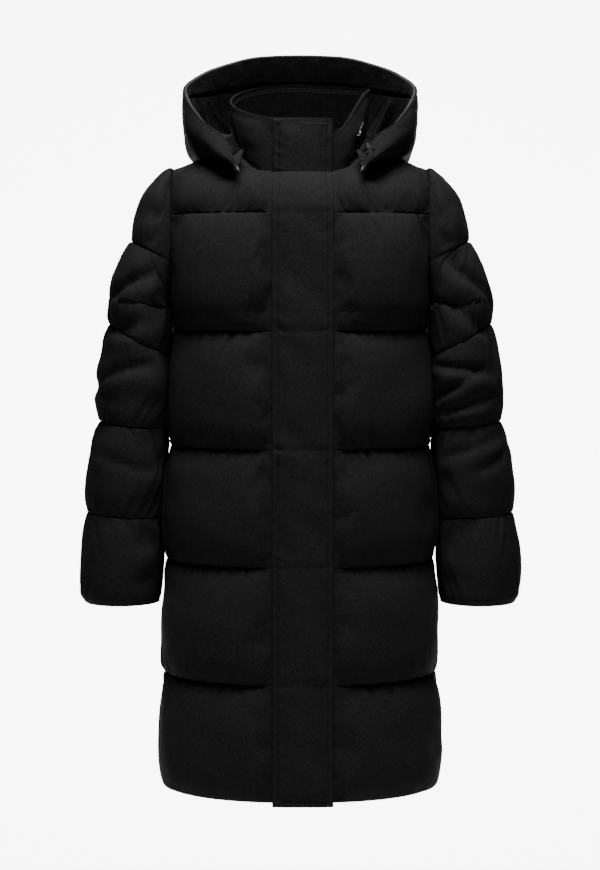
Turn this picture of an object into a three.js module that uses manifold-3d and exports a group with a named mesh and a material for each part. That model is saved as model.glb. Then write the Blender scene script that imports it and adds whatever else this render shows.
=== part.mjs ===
import * as THREE from 'three';
import loadManifold from 'manifold-3d';

// Long hooded puffer coat in its worn form, hollow, in millimetres.
// X runs to the viewer's right, the front faces -Y and +Z is up.
// The origin lies between the two shoulder points, where the wearer carries the coat.
// A side of -1 is the viewer's left, the wearer's right.

const { sin, cos, abs, min, max, pow, exp, floor, acos, asin, PI, hypot } = Math;

// Driving dimensions
const SEAM_GAP = 0.3;
const WALL = 3;
const LINING_WALL = 2.2;
const BAFFLE_HEIGHT = 169;
const BAFFLES = 5;
const FIRST_QUILT_Z = -69;
const HEM_Z = FIRST_QUILT_Z - BAFFLES * BAFFLE_HEIGHT;
const BODY_PUFF = 17;
const SIDE_PUFF = 5;
const SHOULDER_PUFF = 8;
const SLEEVE_PUFF = 9;
const ARMHOLE = { x: 188, top: -3, pit: -205, front: 72, back: 66 };
const NECK = { half: 86, front: 73, back: 70, centre: -12, frontZ: -10, backZ: 50 };
const COLLAR_TOP = { half: 101, front: 76, back: 78, centre: -6, z: 102, rise: 34 };
// Height of the collar's top edge round the viewer's right side, where its front end drops under the flap
const COLLAR_RIM = [
  { angle: 0, z: 50 }, { angle: 30, z: 50 }, { angle: 38, z: 57 }, { angle: 45, z: 74 },
  { angle: 55, z: 94 }, { angle: 66, z: 110 }, { angle: 80, z: 116 }, { angle: 100, z: 121 },
  { angle: 140, z: 130 }, { angle: 180, z: 136 },
];
const COLLAR_PUFF = 5;
const ZIP_HALF = 6;
const FLAP = { left: -40, right: 48, wall: 5, edge: 3, below: 6, gap: 0.4, topZ: 69 };
const FLAP_MARGIN = 3;
const FLAP_FADE = 18;
const VENT_HALF = 5;
const VENT_OPEN_Z = -770;
const VENT_BOTTOM = -893;
const VENT_TOP = -790;
const SLEEVE_TO_BODY = 3;
const POCKET = { top: -395, bottom: -556, wall: 2.5, gap: 0.9 };
const HALF_GAP = SEAM_GAP / 2;


// Zip sliders and their pull tabs: across, along the pull, out of the tape
const SLIDER = { across: 5, along: 9, thick: 2, arch: 1.2, post: 3.6, clear: 0.3 };
const PULL = { across: 4.4, length: 19, thick: 1.2, arm: 0.9, window: 5, eye: 1.8 };
const HINGE_HEIGHT = SLIDER.thick + SLIDER.clear + PULL.thick / 2;
const VENT_SLIDER_Z = -858;
const HOOD_SLIDER = { column: 2, share: 0.5, height: 0.52, lean: 25, lift: 0.1 };

// Inside of the body wall at each quilt line
const BODY_SECTIONS = [
  { z: -914, half: 203, front: 151, back: 138, power: 2.3 },
  { z: -745, half: 199, front: 148, back: 134, power: 2.3 },
  { z: -576, half: 195, front: 144, back: 130, power: 2.3 },
  { z: -407, half: 189, front: 139, back: 125, power: 2.35 },
  { z: -238, half: 184.5, front: 134, back: 120, power: 2.4 },
  { z: -205, half: 184.3, front: 133, back: 119, power: 2.4 },
  { z: -69, half: 184, front: 127, back: 113, power: 2.2 },
];

// Sleeve rows from the shoulder point down; joint is the place along the armhole, 1 at the armpit
const SLEEVE_ROWS = [
  { t: 0, joint: 0.1, outX: 188, outZ: -3, inZ: 0, inX: 188, depth: 26, y: 0 },
  { t: 0.25, joint: 0.2265, outX: 203, outZ: -13, inZ: 0, inX: 188, depth: 53, y: 0 },
  { t: 0.5, joint: 0.353, outX: 219, outZ: -37, inZ: 0, inX: 188, depth: 70, y: -1 },
  { t: 0.78, joint: 0.48, outX: 236, outZ: -72, inZ: 0, inX: 188, depth: 77, y: -2 },
  { t: 1, joint: 0.606, outX: 248, outZ: -108, inZ: 0, inX: 188, depth: 80, y: -3 },
  { t: 1.13, joint: 0.7, outX: 254, outZ: -124, inZ: 0, inX: 188, depth: 81, y: -4 },
  { t: 1.32, joint: 0.8, outX: 261, outZ: -146, inZ: 0, inX: 188, depth: 81, y: -5 },
  { t: 1.52, joint: 0.9, outX: 267, outZ: -170, inZ: 0, inX: 188, depth: 81, y: -6 },
  { t: 1.74, joint: 1, outX: 273, outZ: -197, inZ: -205, inX: 188.2, depth: 80, y: -8 },
  { t: 2, joint: 2, outX: 279, outZ: -228, inZ: -278, inX: 190, depth: 78, y: -12 },
  { t: 3, joint: 2, outX: 293, outZ: -372, inZ: -381, inX: 196, depth: 70, y: -18 },
  { t: 4, joint: 2, outX: 311, outZ: -507, inZ: -512, inX: 203, depth: 62, y: -24 },
  { t: 5, joint: 2, outX: 317, outZ: -640, inZ: -640, inX: 212, depth: 57, y: -28 },
];

// Largest folds of the sleeves: place across (degrees from outermost, minus is the front) and down
const SLEEVE_FOLDS = [
  { side: -1, across: -70, down: 1.55, slope: 0.5, spread: 0.16, depth: 0.75 },
  { side: -1, across: -40, down: 2.35, slope: 0.6, spread: 0.13, depth: 0.5 },
  { side: 1, across: -80, down: 1.6, slope: 0.6, spread: 0.16, depth: 0.85 },
  { side: 1, across: -100, down: 2.4, slope: 0.7, spread: 0.14, depth: 0.9 },
  { side: 1, across: -30, down: 2.6, slope: 0.5, spread: 0.12, depth: 0.5 },
  { side: -1, across: 110, down: 2.4, slope: -0.6, spread: 0.15, depth: 0.7 },
  { side: 1, across: 110, down: 2.5, slope: -0.6, spread: 0.15, depth: 0.7 },
];

// Hood sections from the middle of the back (0) to the front tip (1), for the right half
const HOOD_SECTIONS = [
  { at: 0, seam: [0, 74, 58], under: [0, 131, 2],
    belly: [0, 176, -96], outer: [0, 212, 40], rim: [0, 140, 189] },
  { at: 0.12, seam: [38, 69, 57], under: [50, 126, 6],
    belly: [60, 170, -88], outer: [78, 203, 42], rim: [74, 130, 185] },
  { at: 0.26, seam: [69, 49, 58], under: [96, 92, 24],
    belly: [118, 130, -30], outer: [142, 152, 48], rim: [137, 94, 161] },
  { at: 0.4, seam: [90, 22, 55], under: [118, 44, 38],
    belly: [156, 70, 22], outer: [168, 82, 68], rim: [165, 50, 138] },
  { at: 0.52, seam: [95.6, -6, 50], under: [126, -6, 39],
    belly: [160, 0, 28], outer: [168, 4, 72], rim: [173, 4, 120] },
  { at: 0.66, seam: [96.4, -31.4, 44], under: [118, -46, 37],
    belly: [148, -51, 24], outer: [163, -54, 56], rim: [160, -46, 92] },
  { at: 0.8, seam: [94, -52, 34], under: [108, -74, 30],
    belly: [126, -87, 18], outer: [138, -91, 34], rim: [134, -80, 58] },
  { at: 0.9, seam: [89, -64, 26], under: [98, -88, 20],
    belly: [106, -104, 10], outer: [112, -104, 18], rim: [106, -88, 42] },
  { at: 1, seam: [82, -76, 20], under: [84, -92, 14],
    belly: [86, -106, 5], outer: [88, -113, -8], rim: [88, -120, -12] },
];
const HOOD_COLUMNS_HALF = 15;
const HOOD_PUFF = 6;
const HOOD_ROWS = [0, 0.12, 0.26, 0.4, 0.54, 0.66, 0.78, 0.84, 0.92, 1];
const FACING_FROM = 8;
const LINING_SHORT = 3;

// Colours and finishes
const shellCloth = (name) => new THREE.MeshStandardMaterial(
  { name, color: 0x1b1c21, roughness: 0.82, metalness: 0 });
const satinCloth = new THREE.MeshStandardMaterial(
  { name: 'satin_lining', color: 0x17181d, roughness: 0.42, metalness: 0 });
const zipCloth = new THREE.MeshStandardMaterial(
  { name: 'zip_tape', color: 0x131418, roughness: 0.7, metalness: 0 });

const metal = new THREE.MeshStandardMaterial(
  { name: 'zip_metal', color: 0x8d8f94, roughness: 0.35, metalness: 1 });

const coat = new THREE.Group();

const lerp = (a, b, t) => a + (b - a) * t;
const clamp01 = (t) => min(1, max(0, t));
const smooth = (a, b, v) => {
  const t = clamp01((v - a) / (b - a));
  return t * t * (3 - 2 * t);
};
const radians = (degrees) => degrees * PI / 180;
const add = (p, q, k = 1) => [p[0] + q[0] * k, p[1] + q[1] * k, p[2] + q[2] * k];
const unit = (p) => {
  const length = hypot(...p) || 1;
  return [p[0] / length, p[1] / length, p[2] / length];
};
const mix = (p, q, t) => [lerp(p[0], q[0], t), lerp(p[1], q[1], t), lerp(p[2], q[2], t)];
const cross = (p, q) => [p[1] * q[2] - p[2] * q[1], p[2] * q[0] - p[0] * q[2], p[0] * q[1] - p[1] * q[0]];
const dot = (p, q) => p[0] * q[0] + p[1] * q[1] + p[2] * q[2];
const minus = (p, q) => add(p, q, -1);

// Value of one column of a table between its rows
function fromTable(rows, key, column, at) {
  const rising = rows[0][key] < rows[rows.length - 1][key];
  let i = 0;
  while (i < rows.length - 2 && (rising ? at > rows[i + 1][key] : at < rows[i + 1][key])) i += 1;
  const t = clamp01((at - rows[i][key]) / (rows[i + 1][key] - rows[i][key]));
  const a = rows[i][column];
  const b = rows[i + 1][column];
  return Array.isArray(a) ? mix(a, b, t) : lerp(a, b, t);
}

// Unit normals of a grid of points, turned towards the side that outward gives
function gridNormals(grid, outward) {
  return grid.map((row, i) => row.map((p, j) => {
    const up = minus(grid[min(i + 1, grid.length - 1)][j], grid[max(i - 1, 0)][j]);
    const along = minus(row[min(j + 1, row.length - 1)], row[max(j - 1, 0)]);
    const n = unit(cross(along, up));
    return dot(n, outward(p, i, j)) < 0 ? n.map((v) => -v) : n;
  }));
}

// Closed wall between two grids of the same size, open at no rim
function wall(name, outer, inner, material) {
  const rows = outer.length;
  const columns = outer[0].length;
  const points = [...outer.flat(), ...inner.flat()];
  const at = (side, i, j) => side * rows * columns + i * columns + j;
  const faces = [];
  const quad = (a, b, c, d) => faces.push([a, b, c], [a, c, d]);
  for (let i = 0; i < rows - 1; i += 1) {
    for (let j = 0; j < columns - 1; j += 1) {
      quad(at(0, i, j), at(0, i, j + 1), at(0, i + 1, j + 1), at(0, i + 1, j));
      quad(at(1, i, j), at(1, i + 1, j), at(1, i + 1, j + 1), at(1, i, j + 1));
    }
  }
  for (let j = 0; j < columns - 1; j += 1) {
    quad(at(0, 0, j), at(1, 0, j), at(1, 0, j + 1), at(0, 0, j + 1));
    quad(at(0, rows - 1, j), at(0, rows - 1, j + 1), at(1, rows - 1, j + 1), at(1, rows - 1, j));
  }
  for (let i = 0; i < rows - 1; i += 1) {
    quad(at(0, i, 0), at(0, i + 1, 0), at(1, i + 1, 0), at(1, i, 0));
    quad(at(0, i, columns - 1), at(1, i, columns - 1), at(1, i + 1, columns - 1), at(0, i + 1, columns - 1));
  }
  let volume = 0;
  for (const [a, b, c] of faces) volume += dot(points[a], cross(points[b], points[c]));
  const geometry = new THREE.BufferGeometry();
  geometry.setAttribute('position', new THREE.Float32BufferAttribute(points.flat(), 3));
  geometry.setIndex(faces.flatMap(([a, b, c]) => (volume > 0 ? [a, b, c] : [a, c, b])));
  geometry.computeVertexNormals();
  const mesh = new THREE.Mesh(geometry, material);
  mesh.name = name;
  coat.add(mesh);
  return mesh;
}

// Fullness of a baffle from its lower line of stitching (0) to its upper one (1)
const fullness = (t) => pow(max(0, sin(PI * pow(clamp01(t), 0.86))), 0.6);

// Armhole edge: joint runs from the shoulder point (0) to the armpit (1); face is -1 in front
function armhole(side, face, joint) {
  const depth = face < 0 ? ARMHOLE.front : ARMHOLE.back;
  const swing = pow(max(0, sin(PI * joint)), 0.85);
  const z = ARMHOLE.top - (ARMHOLE.top - ARMHOLE.pit) * (1 - cos(PI * joint)) / 2;
  return [side * ARMHOLE.x, face * depth * swing, z];
}
const jointAt = (z) => acos(1 - 2 * clamp01((ARMHOLE.top - z) / (ARMHOLE.top - ARMHOLE.pit))) / PI;
function armholeOut(point) {
  const middle = (ARMHOLE.top + ARMHOLE.pit) / 2;
  const half = (ARMHOLE.top - ARMHOLE.pit) / 2;
  return unit([0, point[1] / ARMHOLE.front, (point[2] - middle) / half]);
}

// Neck seam: angle 0 is the centre front, 180 the centre back
function neckPoint(side, angle) {
  const c = cos(radians(angle));
  const y = NECK.centre - (c > 0 ? NECK.front : NECK.back) * c;
  return [side * NECK.half * sin(radians(angle)), y, lerp(NECK.frontZ, NECK.backZ, smooth(30, 120, angle))];
}
const neckOut = (p, atZip) => (atZip ? [0, -1, 0] : unit([p[0], p[1] - NECK.centre, 0]));
function collarTop(side, angle) {
  const c = cos(radians(angle));
  const y = COLLAR_TOP.centre - (c > 0 ? COLLAR_TOP.front : COLLAR_TOP.back) * c;
  const z = side > 0 ? fromTable(COLLAR_RIM, 'angle', 'z', angle) : COLLAR_TOP.z - COLLAR_TOP.rise * c;
  return [side * COLLAR_TOP.half * sin(radians(angle)), y, z];
}

// Body rows: level z up to the first quilt line, then up the top baffle to neck and shoulder
const BAFFLE_STEPS = [0, 0.13, 0.42, 0.8];
const bodyRows = [];
for (let baffle = BAFFLES - 1; baffle >= 1; baffle -= 1) {
  const low = FIRST_QUILT_Z - (baffle + 1) * BAFFLE_HEIGHT;
  for (const t of BAFFLE_STEPS) bodyRows.push({ z: low + t * BAFFLE_HEIGHT, t, baffle });
}
for (const z of [-238, -221, -205, -196, -175, -145, -103]) {
  bodyRows.push({ z, t: (z + 238) / BAFFLE_HEIGHT, baffle: 0 });
}
for (const rise of [0, 0.16, 0.38, 0.62, 0.84, 1]) {
  bodyRows.push({ z: FIRST_QUILT_Z, t: rise, baffle: -1, rise });
}
const seamHalfGap = (z) => (z < VENT_OPEN_Z ? VENT_HALF + SEAM_GAP : HALF_GAP);

// Half section of the body at a level, for one side and face, from centre (0) to side or armhole (1)
function bodyLevel(side, face, z, place) {
  const section = (column) => fromTable(BODY_SECTIONS, 'z', column, z);
  const power = 2 / section('power');
  const depth = section(face < 0 ? 'front' : 'back');
  const edge = z > ARMHOLE.pit ? armhole(side, face, jointAt(z)) : [side * section('half'), 0, z];
  const turn = z > ARMHOLE.pit ? 90 - 32 * pow(clamp01((z - ARMHOLE.pit) / 100), 0.5) : 90;
  const last = radians(turn);
  const angle = place * last;
  const half = abs(edge[0]) - (z > ARMHOLE.pit ? HALF_GAP : 0);
  const across = pow(sin(angle), power) / pow(sin(last), power);
  const endCos = turn < 90 ? pow(cos(last), power) : 0;
  const toward = (pow(max(0, cos(angle)), power) - endCos) / (1 - endCos);
  const gap = z > ARMHOLE.pit ? 0 : seamHalfGap(z);
  const endY = face * max(abs(edge[1]), gap);
  return [side * half * across, endY + (face * depth - endY) * toward, z];
}

// Place (0 to 1) where a level reaches a given distance from the centre
function placeOf(side, face, z, x) {
  let low = 0;
  let high = 1;
  for (let i = 0; i < 30; i += 1) {
    const middle = (low + high) / 2;
    if (abs(bodyLevel(side, face, z, middle)[0]) < x) low = middle;
    else high = middle;
  }
  return low;
}

// Angles round the neck where the columns of a front or back panel and of the collar meet
const NECK_COLUMNS = 5;
function neckAngles(face, firstX, secondX) {
  const place = (x) => asin(x / NECK.half) * 180 / PI;
  const angles = [place(firstX)];
  for (let j = 1; j <= NECK_COLUMNS; j += 1) {
    angles.push(lerp(place(secondX), 90, (j - 1) / (NECK_COLUMNS - 1)));
  }
  return face < 0 ? angles : angles.map((angle) => 180 - angle);
}

// Top edge of a body panel: neck seam up to the neck point, then the shoulder seam
function topEdge(side, face, j, columns, angles) {
  if (j <= NECK_COLUMNS) {
    const p = neckPoint(side, angles[j]);
    if (j === NECK_COLUMNS) p[1] += face * HALF_GAP;
    return add(p, [0, 0, -SEAM_GAP]);
  }
  const t = (j - NECK_COLUMNS) / (columns - NECK_COLUMNS);
  const neck = neckPoint(side, 90);
  const neckY = neck[1];
  const z = lerp(neck[2] - SEAM_GAP, ARMHOLE.top, t);
  return [side * lerp(NECK.half, ARMHOLE.x - HALF_GAP, t), lerp(neckY, 0, t) + face * HALF_GAP, z];
}

// Points of one body panel: inside grid, outside grid
function bodyPanel(side, face, columns, firstX, secondX) {
  const lastRow = bodyRows.length - 1;
  const shareOf = (j) => j / columns;
  const angles = neckAngles(face, firstX, secondX);
  const nearNeck = (j) => exp(-pow((j - NECK_COLUMNS) / 2.4, 2));
  const base = bodyRows.map((row) => {
    const points = [];
    for (let j = 0; j <= columns; j += 1) {
      const first = placeOf(side, face, row.z, firstX);
      const second = placeOf(side, face, row.z, secondX);
      const place = j === 0 ? first : lerp(second, 1, (j - 1) / (columns - 1));
      const level = bodyLevel(side, face, row.z, place);
      if (row.rise === undefined) {
        points.push(level);
        continue;
      }
      const top = topEdge(side, face, j, columns, angles);
      const lift = 0.74 * (1 - 0.42 * nearNeck(j));
      const control = [lerp(level[0], top[0], 0.4), level[1] * 0.94, lerp(level[2], top[2], lift)];
      const t = row.rise;
      let p = mix(mix(level, control, t), mix(control, top, t), t);
      if (j === columns) p = armhole(side, face, lerp(jointAt(FIRST_QUILT_Z), 0, t));
      if (j === columns) p[0] = side * (ARMHOLE.x - HALF_GAP);
      if (j === columns && t === 1) p[1] = face * HALF_GAP;
      points.push(p);
    }
    return points;
  });
  const normals = gridNormals(base, (p) => [p[0] * 0.6, p[1] + 10 * face, max(0, p[2] + 60)]);
  const inner = base.map((row) => row.map((p) => [...p]));
  const outer = base.map((row, i) => row.map((p, j) => {
    const { z, t, baffle, rise } = bodyRows[i];
    let n = normals[i][j];
    const onArmhole = j === columns && z > ARMHOLE.pit;
    if (j === 0) n = unit([0, n[1], n[2]]);
    if (j === columns) n = onArmhole ? armholeOut(p) : [side, 0, 0];
    if (i === 0) n = unit([n[0], n[1], 0]);
    if (i === lastRow) {
      if (j <= NECK_COLUMNS) n = neckOut(p, face < 0 && j === 0);
      else if (j < columns) n = unit([side * 0.36, 0, 1]);
      else n = [0, 0, 1];
    }
    const fromCentre = face > 0 ? 1 : smooth(secondX - FLAP_MARGIN, secondX + FLAP_FADE, abs(p[0]));
    const toSide = baffle < 0 ? 1 - smooth(0.8, 1, shareOf(j)) : smooth(0, 0.4, 1 - shareOf(j));
    let puff = baffle < 0 ? SHOULDER_PUFF : BODY_PUFF;
    const side0 = onArmhole || baffle < 0 ? 0 : SIDE_PUFF * (z > -238 ? 0.2 : 1);
    if (baffle < 0) puff *= 1 - 0.75 * nearNeck(j);
    puff = lerp(side0, puff, toSide) * fromCentre;
    const q = add(p, n, WALL + puff * fullness(rise === undefined ? t : rise));
    if (z > ARMHOLE.pit - 40) q[0] = side * min(abs(q[0]), ARMHOLE.x - HALF_GAP);
    return q;
  }));
  return { inner, outer };
}

// Half width of the body's outside at a level and depth, where a sleeve must keep clear
function bodySide(y, z) {
  const section = (column) => fromTable(BODY_SECTIONS, 'z', column, z);
  const t = ((z - HEM_Z) % BAFFLE_HEIGHT) / BAFFLE_HEIGHT;
  const puff = fullness(t);
  const half = section('half') + WALL + SIDE_PUFF * puff;
  const depth = section(y < 0 ? 'front' : 'back') + WALL + BODY_PUFF * puff;
  return half * pow(max(0, 1 - pow(abs(y) / depth, section('power'))), 1 / section('power'));
}

const FRONT_COLUMNS = 12;
const BACK_COLUMNS = 11;
const SPINE_STEP = 20;
const frontEdge = ZIP_HALF + SEAM_GAP;
const frontRight = bodyPanel(-1, -1, FRONT_COLUMNS, frontEdge, -FLAP.left + FLAP_MARGIN);
const frontLeft = bodyPanel(1, -1, FRONT_COLUMNS, frontEdge, FLAP.right + FLAP_MARGIN);

// A panel is sewn up from lengths that meet at quilt lines; each length keeps half a seam's gap
function lengths(name, panel, cuts, parts, material) {
  const shifted = (row, by) => row.map((p) => add(p, [0, 0, by]));
  parts.forEach((part, k) => {
    const last = k === parts.length - 1;
    const cut = (grid) => {
      const rows = grid.slice(cuts[k], last ? undefined : cuts[k + 1] + 1);
      if (k > 0) rows[0] = shifted(rows[0], HALF_GAP);
      if (!last) rows[rows.length - 1] = shifted(rows[rows.length - 1], -HALF_GAP);
      return rows;
    };
    wall(`${name}_${part}`, cut(panel.outer), cut(panel.inner), material);
  });
}
const rowAt = (z) => bodyRows.findIndex((row) => row.z === z && row.rise === undefined);
const LOW_CUT = rowAt(FIRST_QUILT_Z - 3 * BAFFLE_HEIGHT);
const HIGH_CUT = rowAt(FIRST_QUILT_Z - BAFFLE_HEIGHT);
const YOKE_CUT = bodyRows.findIndex((row) => row.rise === 0);
const FRONT_PARTS = ['low', 'middle', 'high'];
lengths('front_right', frontRight, [0, LOW_CUT, HIGH_CUT], FRONT_PARTS, shellCloth('shell_front'));
lengths('front_left', frontLeft, [0, LOW_CUT, HIGH_CUT], FRONT_PARTS, shellCloth('shell_front'));

// The back is two mirrored halves joined into one grid along the spine
function backPanel() {
  const right = bodyPanel(1, 1, BACK_COLUMNS, 0, SPINE_STEP);
  const left = bodyPanel(-1, 1, BACK_COLUMNS, 0, SPINE_STEP);
  const join = (a, b) => a.map((row, i) => [...row.slice(1).reverse(), ...b[i]]);
  return { inner: join(left.inner, right.inner), outer: join(left.outer, right.outer) };
}
const back = backPanel();
lengths('back', back, [0, LOW_CUT, HIGH_CUT, YOKE_CUT], [...FRONT_PARTS, 'yoke'], shellCloth('shell_back'));

// Stand collar, half a turn from the front edge round to the middle of the back
const COLLAR_HEIGHTS = [0, 0.3, 0.7, 1];
function collarGrid(side) {
  const secondX = side < 0 ? -FLAP.left + FLAP_MARGIN : FLAP.right + FLAP_MARGIN;
  const behind = neckAngles(1, 0, SPINE_STEP).reverse().slice(1);
  const angles = [...neckAngles(-1, frontEdge, secondX), ...behind];
  const base = COLLAR_HEIGHTS.map((h) => angles.map((angle, j) => {
    const p = mix(neckPoint(side, angle), collarTop(side, angle), h);
    if (j === 0) p[0] = side * frontEdge;
    if (j === angles.length - 1) p[0] = 0;
    return p;
  }));
  const move = (distance) => base.map((row, i) => row.map((p, j) => {
    const puffed = angles[j] > 90 ? 1 : smooth(secondX - FLAP_MARGIN, secondX + 20, abs(p[0]));
    const puff = distance > 0 ? COLLAR_PUFF * sin(PI * COLLAR_HEIGHTS[i]) * puffed : 0;
    return add(p, neckOut(p, j === 0), distance + puff);
  }));
  return { inner: move(0), outer: move(WALL), lined: move(-SEAM_GAP), liner: move(-SEAM_GAP - LINING_WALL) };
}
const collarRight = collarGrid(1);
const collarLeft = collarGrid(-1);
const round = (key) => collarRight[key].map((row, i) => {
  const rest = [...collarLeft[key][i]].reverse().slice(1);
  return [...row, ...rest];
});
wall('collar', round('outer'), round('inner'), shellCloth('shell_collar'));
wall('collar_inside', round('lined'), round('liner'), shellCloth('shell_collar_inside'));

// Strip down the centre front, made from the points of fronts and collar and moved out
function centreStrip(xs, gap, thickness) {
  const rows = [];
  const span = (right, left, x) => {
    const grid = x < 0 ? left : right;
    const [a, b] = grid;
    const t = (abs(x) - abs(a[0])) / (abs(b[0]) - abs(a[0]));
    return [x, lerp(a[1], b[1], max(0, t)), lerp(a[2], b[2], max(0, t))];
  };
  const stack = [
    ...frontRight.outer.map((row, i) => [frontLeft.outer[i], row]),
    ...collarRight.outer.slice(1).map((row, i) => [row, collarLeft.outer[i + 1]]),
  ];
  for (const [right, left] of stack) rows.push(xs.map((x) => span(right, left, x)));
  const shifted = (offset) => rows.map((row) => row.map((p, j) => {
    const edge = j === 0 || j === xs.length - 1;
    return add(p, [0, -1, 0], offset > gap && edge ? gap + thickness.edge : offset);
  }));
  return { near: shifted(gap), far: shifted(gap + thickness.wall) };
}
const flapColumns = [FLAP.left, FLAP.left / 2, -frontEdge, frontEdge, FLAP.right / 2, FLAP.right];
const flapGrid = centreStrip(flapColumns, FLAP.gap, FLAP);
for (const grid of [flapGrid.near, flapGrid.far]) {
  grid.unshift(grid[0].map((p) => add(p, [0, 0, -FLAP.below])));
  grid[grid.length - 1].forEach((p) => { p[2] = FLAP.topZ; });
}
wall('storm_flap', flapGrid.far, flapGrid.near, shellCloth('shell_flap'));

// Front zip: tape and closed teeth as one strip between the front edges, up into the collar
const ZIP_WALL = { wall: WALL - 0.6, edge: WALL - 0.6 };
const zipGrid = centreStrip([-ZIP_HALF, ZIP_HALF], 0.3 - WALL, ZIP_WALL);
zipGrid.near.pop();
zipGrid.far.pop();
wall('front_zip', zipGrid.far, zipGrid.near, zipCloth);

// Rows of the sleeve between the table's rows
const sleeveSteps = [];
for (const row of SLEEVE_ROWS) {
  sleeveSteps.push(row.t);
  if (row.t >= 2 && row.t < 5) for (const step of [0.2, 0.58, 0.87]) sleeveSteps.push(row.t + step);
}
const SLEEVE_COLUMNS = 20;
function sleeve(side, name) {
  const rowsInfo = sleeveSteps.map((t) => {
    const value = (column) => fromTable(SLEEVE_ROWS, 't', column, t);
    return { t, joint: t < 1.75 ? value('joint') : 2, outX: value('outX'), outZ: value('outZ'),
      inX: value('inX'), inZ: value('inZ'), depth: value('depth'), y: value('y') };
  });
  const plane = ARMHOLE.x + HALF_GAP;
  const clearOfBody = (p, extra) => {
    if (p[2] > ARMHOLE.pit) return [side * max(abs(p[0]), plane), p[1], p[2]];
    const limit = max(bodySide(p[1], p[2]) + SLEEVE_TO_BODY + extra, p[2] > -250 ? plane : 0);
    return [side * max(abs(p[0]), limit), p[1], p[2]];
  };
  const base = rowsInfo.map((row) => {
    const points = [];
    for (let j = 0; j <= SLEEVE_COLUMNS; j += 1) {
      const share = 2 * j / SLEEVE_COLUMNS - 1;
      const face = share < 0 ? -1 : 1;
      if (row.t === 0) {
        const p = armhole(side, face, row.joint * abs(share));
        p[0] = side * plane;
        points.push(p);
        continue;
      }
      const pinned = row.joint < 1;
      const end = pinned ? armhole(side, face, row.joint) : [side * row.inX, 0, row.inZ];
      const last = pinned ? PI - asin(min(1, abs(end[1]) / row.depth)) : PI;
      const turn = share * last;
      const f = (cos(turn) - cos(last)) / (1 - cos(last));
      const x = lerp(abs(end[0]), row.outX, f);
      const offset = row.y * (pinned ? f : 1);
      const gap = !pinned && abs(share) === 1 ? face * HALF_GAP : 0;
      const y = (pinned ? face * abs(end[1]) * sin(abs(turn)) / sin(last) : row.depth * sin(turn)) + offset;
      const p = [side * x, y + gap, lerp(end[2], row.outZ, f)];
      if (pinned && abs(share) === 1) p[0] = side * plane;
      points.push(pinned ? p : clearOfBody(p, WALL));
    }
    return points;
  });
  const axis = rowsInfo.map((row) => [side * lerp(row.inX, row.outX, 0.5), row.y, row.t < 1.75
    ? lerp(row.outZ, -150, 0.6) : lerp(row.outZ, row.inZ, 0.5)]);
  const normals = gridNormals(base, (p, i) => minus(p, axis[i]));
  const outer = base.map((row, i) => row.map((p, j) => {
    const { t, joint } = rowsInfo[i];
    let n = normals[i][j];
    const atEnd = j === 0 || j === SLEEVE_COLUMNS;
    if (t === 0 || (atEnd && joint <= 1)) n = armholeOut(p);
    else if (atEnd) n = unit([-side, 0, n[2] * 0.3]);
    if (i === rowsInfo.length - 1) n = unit([n[0], n[1], 0]);
    const across = (2 * j / SLEEVE_COLUMNS - 1) * 180;
    let puff = SLEEVE_PUFF * fullness(1 - (t - floor(t)));
    if (t === 5) puff = 0;
    if (joint < 1) puff *= 1 - smooth(0.7, 1, abs(across) / 180);
    puff *= 1 - 0.7 * smooth(110, 170, abs(across));
    for (const fold of SLEEVE_FOLDS.filter((entry) => entry.side === side)) {
      const along = (across - fold.across) / 40;
      const down = t - fold.down - along * fold.slope * 0.3;
      puff *= 1 - fold.depth * exp(-(down * down) / (fold.spread * fold.spread) - along * along);
    }
    const q = add(p, n, WALL + puff);
    return joint < 1 || t === 0 ? [side * max(abs(q[0]), plane), q[1], q[2]] : clearOfBody(q, 0);
  }));
  wall(name, outer, base, shellCloth('shell_sleeve'));
}
sleeve(-1, 'sleeve_right');
sleeve(1, 'sleeve_left');

// Side vent zips: a strip in the side seam below the last quilt line
function ventStrip(side, name) {
  const rows = [VENT_BOTTOM, -865, -830, VENT_TOP];
  const section = (z) => fromTable(BODY_SECTIONS, 'z', 'half', z) + WALL - 1;
  const outer = rows.map((z) => [-VENT_HALF, VENT_HALF].map((y) => [side * section(z), y, z]));
  const inner = outer.map((row) => row.map((p) => add(p, [-side * 2, 0, 0])));
  wall(name, outer, inner, zipCloth);
}
ventStrip(-1, 'vent_zip_right');
ventStrip(1, 'vent_zip_left');

// Pocket edges: narrow welts on the fronts, made from the panel's points and moved out
function pocketEdge(panel, name) {
  const column = FRONT_COLUMNS - 3;
  const beside = ({ z }) => z <= POCKET.top && z >= POCKET.bottom;
  const used = bodyRows.map((row, i) => i).filter((i) => beside(bodyRows[i]));
  const strip = (offset) => used.map((i) => {
    const a = panel.outer[i][column];
    const b = panel.outer[i][column + 1];
    const n = unit([b[1] - a[1], a[0] - b[0], 0]);
    const out = n[1] > 0 ? n.map((v) => -v) : n;
    return [add(a, out, offset), add(mix(a, b, 0.6), out, offset)];
  });
  wall(name, strip(POCKET.gap + POCKET.wall), strip(POCKET.gap), shellCloth('shell_pocket'));
}
pocketEdge(frontRight, 'pocket_edge_right');
pocketEdge(frontLeft, 'pocket_edge_left');

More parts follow.
